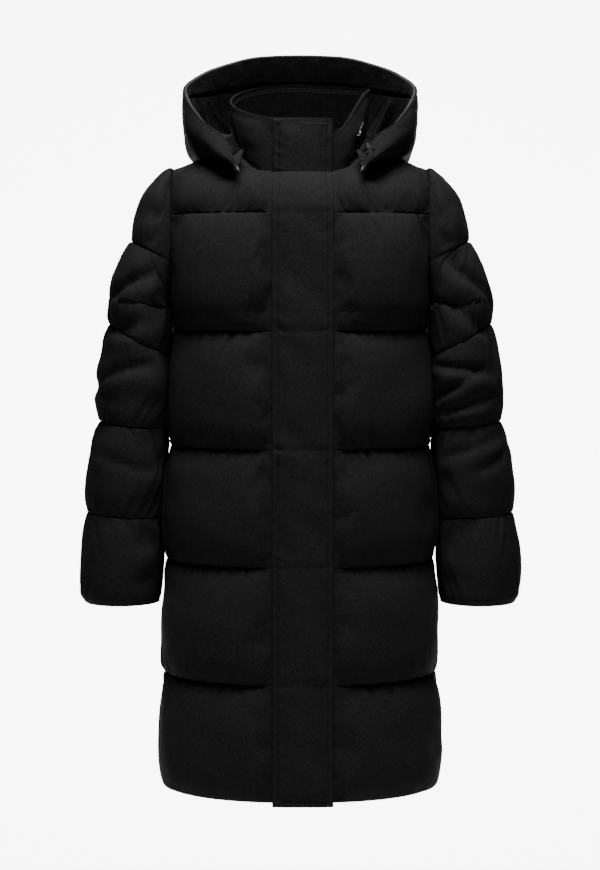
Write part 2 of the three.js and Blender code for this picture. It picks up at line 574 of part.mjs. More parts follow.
// Hood: sections joined from the back to the front tips, seam to rim
function curveThrough(points, t) {
  const at = t * (points.length - 1);
  const i = min(points.length - 2, floor(at));
  const u = at - i;
  const p = (k) => points[min(points.length - 1, max(0, k))];
  const ease = (a, b, c, d) => 0.5 * (2 * b + (c - a) * u + (2 * a - 5 * b + 4 * c - d) * u * u
    + (3 * b - a - 3 * c + d) * u * u * u);
  return [0, 1, 2].map((k) => ease(p(i - 1)[k], p(i)[k], p(i + 1)[k], p(i + 2)[k]));
}
function hoodGrid() {
  const columns = [];
  for (let j = -HOOD_COLUMNS_HALF; j <= HOOD_COLUMNS_HALF; j += 1) {
    const at = abs(j) / HOOD_COLUMNS_HALF;
    const mirror = j < 0 ? -1 : 1;
    const line = ['seam', 'under', 'belly', 'outer', 'rim'].map((key) => {
      const p = fromTable(HOOD_SECTIONS, 'at', key, at);
      return [mirror * p[0], p[1], p[2]];
    });
    columns.push(line);
  }
  const base = HOOD_ROWS.map((t) => columns.map((line) => curveThrough(line, t)));
  const normals = gridNormals(base, (p, i, j) => {
    const line = columns[j];
    const middle = mix(line[0], line[4], 0.5);
    return minus(p, middle);
  });
  const place = (offset, puff) => base.map((row, i) => row.map((p, j) => {
    const at = abs(j - HOOD_COLUMNS_HALF) / HOOD_COLUMNS_HALF;
    const swell = puff * sin(PI * HOOD_ROWS[i]) * (1 - smooth(0.6, 1, at));
    return add(p, normals[i][j], offset + swell);
  }));
  return place;
}
const hoodAt = hoodGrid();
wall('hood_shell', hoodAt(WALL, HOOD_PUFF), hoodAt(0, 0), shellCloth('shell_hood'));
const facingOut = hoodAt(-SEAM_GAP, 0).slice(FACING_FROM);
const facingIn = hoodAt(-SEAM_GAP - LINING_WALL, 0).slice(FACING_FROM);
wall('hood_facing', facingOut, facingIn, shellCloth('shell_hood_facing'));
const liningRows = (offset) => {
  const rows = hoodAt(offset, 0);
  const last = rows[FACING_FROM].map((p, j) => {
    const back = minus(rows[FACING_FROM - 1][j], p);
    return add(p, unit(back), min(0.8, hypot(...back) / 2));
  });
  return [...rows.slice(0, FACING_FROM), last].map((row) => row.slice(LINING_SHORT, -LINING_SHORT));
};
wall('hood_lining', liningRows(-SEAM_GAP), liningRows(-SEAM_GAP - LINING_WALL), satinCloth);

// Zip hardware in its own frame: X across, Y along the pull, Z out of the tape
const kernel = await loadManifold();
kernel.setup();
const { Manifold } = kernel;
const block = (size, centre) => Manifold.cube(size, true).translate(centre);

function sliderSolid() {
  const { across, along, thick, arch, post } = SLIDER;
  const top = HINGE_HEIGHT + PULL.thick / 2 + SLIDER.clear;
  const plate = block([across, along, thick], [0, 0, thick / 2]);
  const legHeight = top + arch - thick / 2;
  const middle = (thick + legHeight) / 2;
  const legs = [-post, post].map((y) => block([arch, arch, legHeight], [0, y, middle]));
  const bar = block([arch, 2 * post + arch, arch], [0, 0, top + arch / 2]);
  return Manifold.union([plate, ...legs, bar]);
}

function pullSolid() {
  const { across, length, thick, arm, window, eye } = PULL;
  const outline = block([across, length, thick], [0, length / 2, 0]);
  const opening = block([2 * arm, window, 2 * thick], [0, window / 2, 0]);
  const eyeAt = [0, length - across / 2, 0];
  const hole = Manifold.cylinder(2 * thick, eye / 2, eye / 2, 16, true).translate(eyeAt);
  const pin = Manifold.cylinder(across, thick / 2, thick / 2, 12, true).rotate([0, 90, 0]);
  return outline.subtract(opening).subtract(hole).add(pin).translate([0, 0, HINGE_HEIGHT]);
}

function meshOf(solid, name, frame) {
  const { vertProperties, triVerts } = solid.getMesh();
  const geometry = new THREE.BufferGeometry();
  geometry.setAttribute('position', new THREE.Float32BufferAttribute(vertProperties, 3));
  geometry.setIndex([...triVerts]);
  const mesh = new THREE.Mesh(geometry, metal);
  mesh.name = name;
  const { origin, along, out } = frame;
  const across = cross(along, out);
  const columns = [across, along, out].map((v) => new THREE.Vector3(...v));
  mesh.quaternion.setFromRotationMatrix(new THREE.Matrix4().makeBasis(...columns));
  mesh.position.set(...add(origin, out, SLIDER.clear));
  coat.add(mesh);
}

// Frame of a vent slider: on the zip tape, the pull hanging down
function ventFrame(side) {
  const half = (z) => fromTable(BODY_SECTIONS, 'z', 'half', z) + WALL - 1;
  const slope = (half(VENT_BOTTOM) - half(VENT_TOP)) / (VENT_TOP - VENT_BOTTOM);
  const along = unit([side * slope, 0, -1]);
  const out = unit([side, 0, slope]);
  return { origin: [side * half(VENT_SLIDER_Z), 0, VENT_SLIDER_Z], along, out };
}

// Frame of the hood's slider: low on the collar beside the hood's tip, the pull leaning up
function hoodFrame() {
  const { column, share, height, lean, lift } = HOOD_SLIDER;
  const [, low, high] = collarRight.outer;
  const bottom = mix(low[column], low[column + 1], share);
  const top = mix(high[column], high[column + 1], share);
  const up = unit(minus(top, bottom));
  const edge = (j) => mix(low[j], high[j], height);
  const beside = unit(minus(edge(column + 1), edge(column)));
  const out = unit(cross(beside, up));
  const level = cross(up, out);
  const along = unit(add(up.map((v) => v * cos(radians(lean))), level, sin(radians(lean))));
  return { origin: add(mix(bottom, top, height), out, lift), along, out };
}
meshOf(sliderSolid(), 'hood_slider', hoodFrame());
meshOf(pullSolid(), 'hood_pull', hoodFrame());
meshOf(sliderSolid(), 'vent_slider_right', ventFrame(-1));
meshOf(pullSolid(), 'vent_pull_right', ventFrame(-1));
meshOf(sliderSolid(), 'vent_slider_left', ventFrame(1));
meshOf(pullSolid(), 'vent_pull_left', ventFrame(1));

export default coat;
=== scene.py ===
# %% [markdown]
# # A long hooded puffer coat, filled out as if worn
# The coat hangs in its worn shape with nobody in it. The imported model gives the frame: every
# piece below is a finer version of one of its solids and lies exactly where that solid lies.
# Working sizes are millimetres, like a pattern maker's, and become metres when a mesh is made.

import bpy
import numpy as np
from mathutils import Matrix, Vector


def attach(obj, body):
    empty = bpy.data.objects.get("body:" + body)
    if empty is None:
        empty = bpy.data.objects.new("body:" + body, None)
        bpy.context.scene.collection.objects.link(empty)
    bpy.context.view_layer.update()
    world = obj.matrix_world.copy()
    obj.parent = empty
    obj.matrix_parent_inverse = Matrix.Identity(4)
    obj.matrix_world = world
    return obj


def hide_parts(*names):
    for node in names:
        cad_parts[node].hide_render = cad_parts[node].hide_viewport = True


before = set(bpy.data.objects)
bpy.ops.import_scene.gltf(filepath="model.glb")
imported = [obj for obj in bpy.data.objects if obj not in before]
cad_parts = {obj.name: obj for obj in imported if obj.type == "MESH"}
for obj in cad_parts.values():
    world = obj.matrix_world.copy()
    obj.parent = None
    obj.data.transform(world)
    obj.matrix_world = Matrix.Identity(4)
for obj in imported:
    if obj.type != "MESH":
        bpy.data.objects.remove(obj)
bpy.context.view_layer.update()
MM = 0.001

# %% [markdown]
# ## Camera
# A catalogue photograph of a garment is taken from a few metres away with a longish lens, so
# the hem bows down a little in the middle. The camera stands 2.8 m in front, level with the
# chest, and tips down slightly. Setting the sensor fit to vertical ties the lens to the
# height of the picture, whatever its width.

# %% Camera at the photograph's angle
CAMERA_DISTANCE = 2800
CAMERA_Z = -222
LOOK_AT_Z = -394
VIEW_HEIGHT = 1305
SENSOR = 24.0

camera_data = bpy.data.cameras.new("camera")
camera_data.sensor_fit = "VERTICAL"
camera_data.sensor_height = SENSOR
camera = bpy.data.objects.new("camera", camera_data)
bpy.context.scene.collection.objects.link(camera)
camera.location = Vector((0, -CAMERA_DISTANCE, CAMERA_Z)) * MM
aim = Vector((0, 0, LOOK_AT_Z)) * MM - camera.location
camera.rotation_euler = aim.to_track_quat("-Z", "Y").to_euler()
camera_data.lens = SENSOR * aim.length / (VIEW_HEIGHT * MM)
bpy.context.scene.camera = camera
print("lens", round(camera_data.lens, 1), "mm")

# %% [markdown]
# ## The coat's own sizes
# These are the driving sizes of the cut. The quilting runs round the body in level lines, one
# baffle apart. The sections give the half width and the depths to front and back on those lines.

# %% Sizes of the cut
WALL = 3.0
LINING_WALL = 2.2
SEAM_GAP = 0.3
HALF_GAP = SEAM_GAP / 2
BAFFLE = 169.0
BAFFLES = 5
FIRST_QUILT_Z = -69.0
HEM_Z = FIRST_QUILT_Z - BAFFLES * BAFFLE
BODY_PUFF, SIDE_PUFF, SHOULDER_PUFF, SLEEVE_PUFF = 17.0, 5.0, 8.0, 9.0
COLLAR_PUFF, HOOD_PUFF = 5.0, 6.0
ARM_X, ARM_TOP, ARM_PIT, ARM_FRONT, ARM_BACK = 188.0, -3.0, -205.0, 72.0, 66.0
NECK = dict(half=86.0, front=73.0, back=70.0, centre=-12.0, low=-10.0, high=50.0)
TOP = dict(half=101.0, front=76.0, back=78.0, centre=-6.0, z=102.0, rise=34.0)
ZIP_HALF = 6.0
FRONT_EDGE = ZIP_HALF + SEAM_GAP
FLAP_LEFT, FLAP_RIGHT, FLAP_BELOW, FLAP_TOP_Z = -40.0, 48.0, 6.0, 69.0
FLAP_MARGIN = 3.0
VENT_HALF, VENT_BOTTOM, VENT_TOP, VENT_OPEN = 5.0, -893.0, -790.0, -770.0
NECK_COLUMNS, FRONT_COLUMNS, BACK_COLUMNS, SPINE_STEP = 5, 12, 11, 20.0

BODY_COLUMNS = ("z", "half", "front", "back", "power")
BODY_SECTIONS = np.array([
    (-914, 203, 151, 138, 2.3),
    (-745, 199, 148, 134, 2.3),
    (-576, 195, 144, 130, 2.3),
    (-407, 189, 139, 125, 2.35),
    (-238, 184.5, 134, 120, 2.4),
    (-205, 184.3, 133, 119, 2.4),
    (-69, 184, 127, 113, 2.2),
], float)


def section(column, z):
    return np.interp(z, BODY_SECTIONS[:, 0], BODY_SECTIONS[:, BODY_COLUMNS.index(column)])


def lerp(a, b, t):
    return a + (b - a) * t


def smooth(a, b, v):
    t = np.clip((v - a) / (b - a), 0, 1)
    return t * t * (3 - 2 * t)


def fullness(t):
    """How full a baffle is from its lower stitching (0) to its upper stitching (1)."""
    t = np.clip(t, 0, 1)
    return np.maximum(0, np.sin(np.pi * t ** 0.86)) ** 0.6


def unit(v):
    return v / np.maximum(np.linalg.norm(v, axis=-1, keepdims=True), 1e-9)


def stack(x, y, z):
    return np.stack(np.broadcast_arrays(x, y, z), axis=-1).astype(float)


# %% [markdown]
# ## Cloth as grids
# A sewn panel is easiest to handle as a grid: rows follow the quilting and columns run down
# the garment. From a grid of points come its normals, its UV map in real metres and a closed
# wall with a plain inside. Real metres in the UV map let one weave serve every panel.

# %% Grid helpers
def grid_normals(grid, centre):
    """Unit normals of a grid of points, turned away from the centre."""
    down = np.gradient(grid, axis=0)
    along = np.gradient(grid, axis=1)
    normals = unit(np.cross(along, down))
    away = np.sum(normals * (grid - centre), axis=-1)
    return normals * np.where(away < 0, -1, 1)[..., None]


def grid_crosses(grid):
    """Direction each grid point's faces turn to."""
    return np.cross(np.gradient(grid, axis=1), np.gradient(grid, axis=0))


def grid_lengths(grid):
    """Running length along rows and down columns, in the grid's own units."""
    along = np.linalg.norm(np.diff(grid, axis=1), axis=-1)
    down = np.linalg.norm(np.diff(grid, axis=0), axis=-1)
    s = np.concatenate([np.zeros((grid.shape[0], 1)), np.cumsum(along, axis=1)], axis=1)
    d = np.concatenate([np.zeros((1, grid.shape[1])), np.cumsum(down, axis=0)], axis=0)
    return s, d


def waves(s, d, shortest, longest, seed, count=22):
    """Soft random unevenness made of plane waves, about -1 to 1."""
    random = np.random.default_rng(seed)
    total = np.zeros(np.broadcast(s, d).shape)
    for _ in range(count):
        length = np.exp(random.uniform(np.log(shortest), np.log(longest)))
        turn = random.uniform(0, 2 * np.pi)
        phase = random.uniform(0, 2 * np.pi)
        total += np.sin(2 * np.pi * (s * np.cos(turn) + d * np.sin(turn)) / length + phase)
    return total / np.sqrt(count)


def ripple(s, shortest, longest, seed, count=12):
    """Random waves along one line only."""
    random = np.random.default_rng(seed)
    total = np.zeros(np.shape(s))
    for _ in range(count):
        length = np.exp(random.uniform(np.log(shortest), np.log(longest)))
        total += np.sin(2 * np.pi * s / length + random.uniform(0, 2 * np.pi))
    return total / np.sqrt(count)


def new_object(name, points, faces, uvs=None):
    mesh = bpy.data.meshes.new(name)
    mesh.from_pydata((np.asarray(points) * MM).tolist(), [], [list(map(int, f)) for f in faces])
    if uvs is not None:
        layer = mesh.uv_layers.new(name="cloth_metres")
        index = np.zeros(len(mesh.loops), dtype=np.int64)
        mesh.loops.foreach_get("vertex_index", index)
        layer.data.foreach_set("uv", (np.asarray(uvs)[index] * MM).ravel())
    mesh.polygons.foreach_set("use_smooth", np.ones(len(mesh.polygons), dtype=bool))
    mesh.update()
    obj = bpy.data.objects.new(name, mesh)
    bpy.context.scene.collection.objects.link(obj)
    return obj


def grid_faces(rows, columns, start=0, flip=False):
    i, j = np.meshgrid(np.arange(rows - 1), np.arange(columns - 1), indexing="ij")
    a = start + i * columns + j
    quads = np.stack([a, a + 1, a + columns + 1, a + columns], axis=-1).reshape(-1, 4)
    return quads[:, ::-1] if flip else quads


def signed_volume(points, faces):
    p = np.asarray(points)
    a, b, c, d = (p[faces[:, k]] for k in range(4))
    return np.sum(a * (np.cross(b, c) + np.cross(c, d))) / 6


def cloth_wall(name, outer, inner):
    """Closed wall between an outside and an inside grid of the same size."""
    rows, columns = outer.shape[:2]
    count = rows * columns
    points = np.concatenate([outer.reshape(-1, 3), inner.reshape(-1, 3)])
    parts = [grid_faces(rows, columns), grid_faces(rows, columns, count, flip=True)]
    edge = [
        [(i, 0) for i in range(rows - 1, -1, -1)],
        [(0, j) for j in range(columns)],
        [(i, columns - 1) for i in range(rows)],
        [(rows - 1, j) for j in range(columns - 1, -1, -1)],
    ]
    for run in edge:
        k = np.array([i * columns + j for i, j in run])
        parts.append(np.stack([k[:-1], k[:-1] + count, k[1:] + count, k[1:]], axis=-1))
    faces = np.concatenate(parts)
    if signed_volume(points, faces) < 0:
        faces = faces[:, ::-1]
    s, d = grid_lengths(outer)
    uvs = np.stack([s, d], axis=-1).reshape(-1, 2)
    obj = new_object(name, points, faces, np.concatenate([uvs, uvs]))
    mark_rims(obj, rows, columns)
    return obj


def mark_rims(obj, rows, columns):
    """Edges where the outside turns into a rim stay crisp; both layers stay smooth."""
    count = rows * columns
    k = np.arange(count)
    row, column = k // columns, k % columns
    on_rim = (row == 0) | (row == rows - 1) | (column == 0) | (column == columns - 1)
    on_rim = np.concatenate([on_rim, on_rim])
    mesh = obj.data
    ends = np.zeros(len(mesh.edges) * 2, dtype=np.int64)
    mesh.edges.foreach_get("vertices", ends)
    ends = ends.reshape(-1, 2)
    same_layer = (ends[:, 0] < count) == (ends[:, 1] < count)
    sharp = on_rim[ends[:, 0]] & on_rim[ends[:, 1]] & same_layer
    marks = mesh.attributes.new("sharp_edge", "BOOLEAN", "EDGE")
    marks.data.foreach_set("value", sharp)


# %% [markdown]
# ## Finishes
# The shell is a matt woven cloth with slightly uneven yarns, which gives the black a faint
# heathered look. The weave is a shader node group, placed in each cloth with its own thread
# spacing, unevenness and depth. It reads the UV map in metres, so it follows every panel.
# Two copies of the shell cloth hold painted light: a darker one without gloss is painted shade
# inside the collar, and a lighter one is painted light on the hood's facing. The satin is
# painted darker and less glossy at its front ends, as painted shade.

# %% Node groups: woven yarns and drifting tone
def group_socket(tree, name, direction, kind, value=None):
    socket = tree.interface.new_socket(name=name, in_out=direction, socket_type=kind)
    if value is not None:
        socket.default_value = value
    return socket


def math_node(tree, operation, a, b=None, c=None):
    node = tree.nodes.new("ShaderNodeMath")
    node.operation = operation
    for k, value in enumerate((a, b, c)):
        if value is None:
            continue
        if isinstance(value, (int, float)):
            node.inputs[k].default_value = value
        else:
            tree.links.new(value, node.inputs[k])
    return node.outputs[0]


def make_weave_group():
    tree = bpy.data.node_groups.new("woven_yarns", "ShaderNodeTree")
    group_socket(tree, "Cloth", "INPUT", "NodeSocketVector")
    group_socket(tree, "Thread spacing", "INPUT", "NodeSocketFloat", 0.0006)
    group_socket(tree, "Heather size", "INPUT", "NodeSocketFloat", 0.0016)
    group_socket(tree, "Height", "OUTPUT", "NodeSocketFloat")
    group_socket(tree, "Yarn tone", "OUTPUT", "NodeSocketFloat")
    group_in = tree.nodes.new("NodeGroupInput")
    group_out = tree.nodes.new("NodeGroupOutput")
    split = tree.nodes.new("ShaderNodeSeparateXYZ")
    tree.links.new(group_in.outputs["Cloth"], split.inputs[0])
    turns = math_node(tree, "DIVIDE", 2 * np.pi, group_in.outputs["Thread spacing"])
    warp = math_node(tree, "SINE", math_node(tree, "MULTIPLY", split.outputs["X"], turns))
    weft = math_node(tree, "SINE", math_node(tree, "MULTIPLY", split.outputs["Y"], turns))
    crossing = math_node(tree, "MULTIPLY", warp, weft)
    tones = []
    for stretch, seed in (((1.0, 0.3, 1.0), 3.7), ((0.3, 1.0, 1.0), 9.1)):
        scaled = tree.nodes.new("ShaderNodeVectorMath")
        scaled.operation = "MULTIPLY"
        tree.links.new(group_in.outputs["Cloth"], scaled.inputs[0])
        scaled.inputs[1].default_value = stretch
        moved = tree.nodes.new("ShaderNodeVectorMath")
        moved.operation = "ADD"
        tree.links.new(scaled.outputs[0], moved.inputs[0])
        moved.inputs[1].default_value = (seed, seed, seed)
        noise = tree.nodes.new("ShaderNodeTexNoise")
        noise.inputs["Detail"].default_value = 2.0
        tree.links.new(moved.outputs[0], noise.inputs["Vector"])
        scale = math_node(tree, "DIVIDE", 1.0, group_in.outputs["Heather size"])
        tree.links.new(scale, noise.inputs["Scale"])
        tones.append(noise.outputs["Fac"])
    tone = math_node(tree, "MULTIPLY", math_node(tree, "ADD", tones[0], tones[1]), 0.5)
    tree.links.new(tone, group_out.inputs["Yarn tone"])
    height = math_node(tree, "ADD", math_node(tree, "MULTIPLY", crossing, 0.35), tone)
    tree.links.new(height, group_out.inputs["Height"])
    return tree


weave_group = make_weave_group()


def rgb(tree, fac, dark, light):
    ramp = tree.nodes.new("ShaderNodeValToRGB")
    ramp.color_ramp.elements[0].position = 0.32
    ramp.color_ramp.elements[1].position = 0.68
    ramp.color_ramp.elements[0].color = (*dark, 1)
    ramp.color_ramp.elements[1].color = (*light, 1)
    tree.links.new(fac, ramp.inputs[0])
    return ramp.outputs[0]


def grey(value):
    """A neutral grey with a trace more blue, as black cloth has."""
    return value, value, value * 1.02


def cloth_material(name, dark, light, roughness, sheen, spacing, heather, bump,
                   wrinkle=0.0, specular=0.2):
    material = bpy.data.materials.new(name)
    material.use_nodes = True
    tree = material.node_tree
    shader = tree.nodes["Principled BSDF"]
    uv = tree.nodes.new("ShaderNodeUVMap")
    uv.uv_map = "cloth_metres"
    weave = tree.nodes.new("ShaderNodeGroup")
    weave.node_tree = weave_group
    tree.links.new(uv.outputs[0], weave.inputs["Cloth"])
    weave.inputs["Thread spacing"].default_value = spacing
    weave.inputs["Heather size"].default_value = heather
    tree.links.new(rgb(tree, weave.outputs["Yarn tone"], dark, light), shader.inputs["Base Color"])
    shader.inputs["Sheen Weight"].default_value = sheen
    shader.inputs["Sheen Roughness"].default_value = 0.45
    shader.inputs["Specular IOR Level"].default_value = specular
    rough = math_node(tree, "MULTIPLY_ADD", weave.outputs["Yarn tone"], 0.12, roughness - 0.06)
    tree.links.new(rough, shader.inputs["Roughness"])
    fine = tree.nodes.new("ShaderNodeBump")
    fine.inputs["Strength"].default_value = bump
    fine.inputs["Distance"].default_value = 0.0004
    tree.links.new(weave.outputs["Height"], fine.inputs["Height"])
    if wrinkle > 0:
        soft = tree.nodes.new("ShaderNodeTexNoise")
        soft.inputs["Scale"].default_value = 55
        soft.inputs["Detail"].default_value = 3
        soft.inputs["Distortion"].default_value = 0.6
        tree.links.new(uv.outputs[0], soft.inputs["Vector"])
        folds = tree.nodes.new("ShaderNodeBump")
        folds.inputs["Strength"].default_value = wrinkle
        folds.inputs["Distance"].default_value = 0.003
        tree.links.new(soft.outputs["Fac"], folds.inputs["Height"])
        tree.links.new(folds.outputs[0], fine.inputs["Normal"])
    tree.links.new(fine.outputs[0], shader.inputs["Normal"])
    return material


shell_cloth = cloth_material(
    "matt_shell_cloth", grey(0.0035), grey(0.0155), 0.85, 0.0, 0.0006, 0.0014, 0.5, 0.3, 0.08)
# Shell cloth inside the collar: the same cloth with painted shade, a darker colour and no gloss.
inner_shell_cloth_painted_shade = cloth_material(
    "shell_cloth_inside", grey(0.0015), grey(0.006), 0.85, 0.0, 0.0006, 0.0015, 0.5, 0.4, 0.0)
# Shell cloth of the hood's facing: the same cloth with painted light, a lighter colour than the
# shell; it is also glossier.
facing_cloth_painted_light = cloth_material(
    "hood_facing_cloth", grey(0.02), grey(0.055), 0.55, 0.0, 0.0006, 0.0015, 0.3, 0.7, 0.25)
satin = cloth_material(
    "satin_lining", grey(0.022), grey(0.034), 0.4, 0.0, 0.0003, 0.0008, 0.06, 1.0, 0.35)


def paint_shade_by_attribute(material, attribute, share):
    """Painted shade: less colour and gloss where a piece's attribute rises to 1."""
    tree = material.node_tree
    shader = tree.nodes["Principled BSDF"]
    held = tree.nodes.new("ShaderNodeAttribute")
    held.attribute_name = attribute
    less = math_node(tree, "MULTIPLY_ADD", held.outputs["Fac"], -share, 1.0)
    dimmed = tree.nodes.new("ShaderNodeVectorMath")
    dimmed.operation = "SCALE"
    tree.links.new(shader.inputs["Base Color"].links[0].from_socket, dimmed.inputs[0])
    tree.links.new(less, dimmed.inputs["Scale"])
    tree.links.new(dimmed.outputs[0], shader.inputs["Base Color"])
    gloss = math_node(tree, "MULTIPLY", less, shader.inputs["Specular IOR Level"].default_value)
    tree.links.new(gloss, shader.inputs["Specular IOR Level"])


# Painted shade on the satin: its front ends, which lie in the collar's shade, are darker and less
# glossy.
paint_shade_by_attribute(satin, "front_end", 0.85)
zip_tape = cloth_material(
    "zip_tape", grey(0.003), grey(0.007), 0.7, 0.05, 0.0009, 0.002, 0.5)
stitch_thread = cloth_material(
    "stitch_thread", grey(0.014), grey(0.03), 0.55, 0.0, 0.0004, 0.001, 0.5)
print("finishes:", len(bpy.data.materials))


def one_side_area(obj):
    """Area of one side of a thin piece, in square metres."""
    return sum(face.area for face in obj.data.polygons) / 2


def finish_piece(obj, material, slot, *nodes, fill=None, body="coat"):
    obj.data.materials.clear()
    obj.data.materials.append(material)
    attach(obj, body)
    if nodes:
        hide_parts(*nodes)


# %% [markdown]
# ## Seam curves
# Four curves decide how the panels meet: the armhole, the neck seam, the top of the collar and
# the side seam. Each is one small function of an angle or a share, so both panels that meet at
# a seam take the same curve and stay a hair apart.

# %% Armhole, neck and collar curves
def armhole(side, face, joint):
    """joint runs from the shoulder point (0) to the armpit (1); face is -1 in front."""
    depth = np.where(np.asarray(face) < 0, ARM_FRONT, ARM_BACK)
    swing = np.maximum(0, np.sin(np.pi * joint)) ** 0.85
    z = ARM_TOP - (ARM_TOP - ARM_PIT) * (1 - np.cos(np.pi * joint)) / 2
    return stack(side * ARM_X, face * depth * swing, z)


def joint_at(z):
    return np.arccos(1 - 2 * np.clip((ARM_TOP - z) / (ARM_TOP - ARM_PIT), 0, 1)) / np.pi


def armhole_out(points):
    middle, half = (ARM_TOP + ARM_PIT) / 2, (ARM_TOP - ARM_PIT) / 2
    return unit(stack(0, points[..., 1] / ARM_FRONT, (points[..., 2] - middle) / half))


def neck_point(side, angle):
    c = np.cos(np.radians(angle))
    y = NECK["centre"] - np.where(c > 0, NECK["front"], NECK["back"]) * c
    z = lerp(NECK["low"], NECK["high"], smooth(30, 120, angle))
    return stack(side * NECK["half"] * np.sin(np.radians(angle)), y, z)


RIM_ANGLE = np.array([0, 30, 38, 45, 55, 66, 80, 100, 140, 180])
RIM_Z = np.array([50, 50, 57, 74, 94, 110, 116, 121, 130, 136])


def collar_top(side, angle):
    """Top edge of the collar; on the viewer's right its front end drops under the flap."""
    c = np.cos(np.radians(angle))
    y = TOP["centre"] - np.where(c > 0, TOP["front"], TOP["back"]) * c
    right = sum(np.interp(angle + o, RIM_ANGLE, RIM_Z) for o in (-4, -2, 0, 2, 4)) / 5
    z = right if side > 0 else TOP["z"] - TOP["rise"] * c
    return stack(side * TOP["half"] * np.sin(np.radians(angle)), y, z)


def neck_out(points):
    return unit(stack(points[..., 0], points[..., 1] - NECK["centre"], 0))


# %% [markdown]
# ## Body panels
# Front and back are level superellipse sections up to the armpit. Above it each row ends on
# the armhole, and over the last stitching the panel rolls in to the neck and shoulder seams.

# %% Body surface
def body_frame(side, face, z):
    above = z > ARM_PIT
    power = 2 / section("power", z)
    depth = section("front" if face < 0 else "back", z)
    edge = armhole(side, face, joint_at(z))
    half = np.where(above, ARM_X - HALF_GAP, section("half", z))
    turn = np.where(above, 90 - 32 * np.clip((z - ARM_PIT) / 100, 0, 1) ** 0.5, 90)
    vent = lerp(HALF_GAP, VENT_HALF + SEAM_GAP, smooth(VENT_OPEN + 8, VENT_OPEN, z))
    end_y = face * np.where(above, np.maximum(np.abs(edge[..., 1]), HALF_GAP), vent)
    return power, depth, half, np.radians(turn), end_y


def body_level(side, face, z, place):
    power, depth, half, last, end_y = body_frame(side, face, z)
    angle = place * last
    across = np.sin(angle) ** power / np.sin(last) ** power
    end_cos = np.where(last < np.pi / 2 - 1e-6, np.maximum(0, np.cos(last)) ** power, 0)
    toward = (np.maximum(0, np.cos(angle)) ** power - end_cos) / (1 - end_cos)
    return stack(side * half * across, end_y + (face * depth - end_y) * toward, z)


def place_of(side, face, z, x):
    power, _, half, last, _ = body_frame(side, face, z)
    return np.arcsin(np.clip((x / half) ** (1 / power) * np.sin(last), 0, 1)) / last


def body_grid(side, face, rows, columns):
    """rows run from the hem (0) up to the first quilting (5) and on to the top edge (6)."""
    pattern = FRONT_COLUMNS if face < 0 else BACK_COLUMNS
    first_x = FRONT_EDGE if face < 0 else 0.0
    second_x = SPINE_STEP if face > 0 else (FLAP_MARGIN + (FLAP_RIGHT if side > 0 else -FLAP_LEFT))
    v, w = np.meshgrid(rows, columns, indexing="ij")
    z = np.where(v <= BAFFLES, HEM_Z + np.minimum(v, BAFFLES) * BAFFLE, FIRST_QUILT_Z)
    j = w * pattern
    first, second = place_of(side, face, z, first_x), place_of(side, face, z, second_x)
    place = np.where(j < 1, lerp(first, second, j), lerp(second, 1, (j - 1) / (pattern - 1)))
    base = body_level(side, face, z, place)
    rise = np.clip(v - BAFFLES, 0, 1)

    def degrees(x):
        return np.degrees(np.arcsin(x / NECK["half"]))

    angle = np.where(j < 1, lerp(degrees(first_x), degrees(second_x), j),
                     lerp(degrees(second_x), 90, np.clip((j - 1) / (NECK_COLUMNS - 1), 0, 1)))
    top = neck_point(side, angle if face < 0 else 180 - angle) - [0, 0, SEAM_GAP]
    top[..., 1] += face * HALF_GAP * smooth(NECK_COLUMNS - 0.4, NECK_COLUMNS, j)
    along = np.clip((j - NECK_COLUMNS) / (pattern - NECK_COLUMNS), 0, 1)
    shoulder = stack(side * lerp(NECK["half"], ARM_X - HALF_GAP, along),
                     lerp(NECK["centre"], 0, along) + face * HALF_GAP,
                     lerp(neck_point(side, 90.0)[..., 2] - SEAM_GAP, ARM_TOP, along))
    top = np.where((j > NECK_COLUMNS)[..., None], shoulder, top)
    near = np.exp(-((j - NECK_COLUMNS) / 2.4) ** 2)
    lift = 0.74 * (1 - 0.42 * near)
    control = stack(lerp(base[..., 0], top[..., 0], 0.4), base[..., 1] * 0.94,
                    lerp(base[..., 2], top[..., 2], lift))
    t = rise[..., None]
    rolled = (1 - t) ** 2 * base + 2 * t * (1 - t) * control + t ** 2 * top
    edge = armhole(side, face, lerp(joint_at(FIRST_QUILT_Z), 0, rise))
    edge[..., 0] = side * (ARM_X - HALF_GAP)
    last = rolled[:, -1:, :]
    pull = smooth((pattern - 1.2) / pattern, 1, w)[..., None]
    rolled = rolled + (edge - last) * pull
    grid = np.where((v > BAFFLES)[..., None], rolled, base)
    return grid, v, w, j, z, pattern, second_x


def body_normals(grid, side, face, z, j):
    centre = stack(grid[..., 0] * 0.4, 0 * z - 10 * face, np.minimum(z, -60))
    normals = grid_normals(grid, centre)
    normals[:, 0] = unit(normals[:, 0] * [0, 1, 1])
    above = (z[:, -1] > ARM_PIT)[:, None]
    normals[:, -1] = np.where(above, armhole_out(grid[:, -1]), np.array([side, 0, 0.0]))
    normals[0] = unit(normals[0] * [1, 1, 0])
    on_neck = (j[-1] <= NECK_COLUMNS)[:, None]
    normals[-1] = np.where(on_neck, neck_out(grid[-1]), unit(np.array([side * 0.36, 0, 1.0])))
    if face < 0:
        normals[-1, 0] = (0, -1, 0)
    return normals


# %% [markdown]
# ## Filling the baffles
# Down or wadding pushes each baffle out between two lines of stitching. Three things make it
# read as real: the swell itself, short gathers that start at the stitching and fade within a
# few centimetres, and slow unevenness of the filling. The swell and gathers are shaped first,
# then Blender's cloth settles them under pressure with the stitched rows pinned.

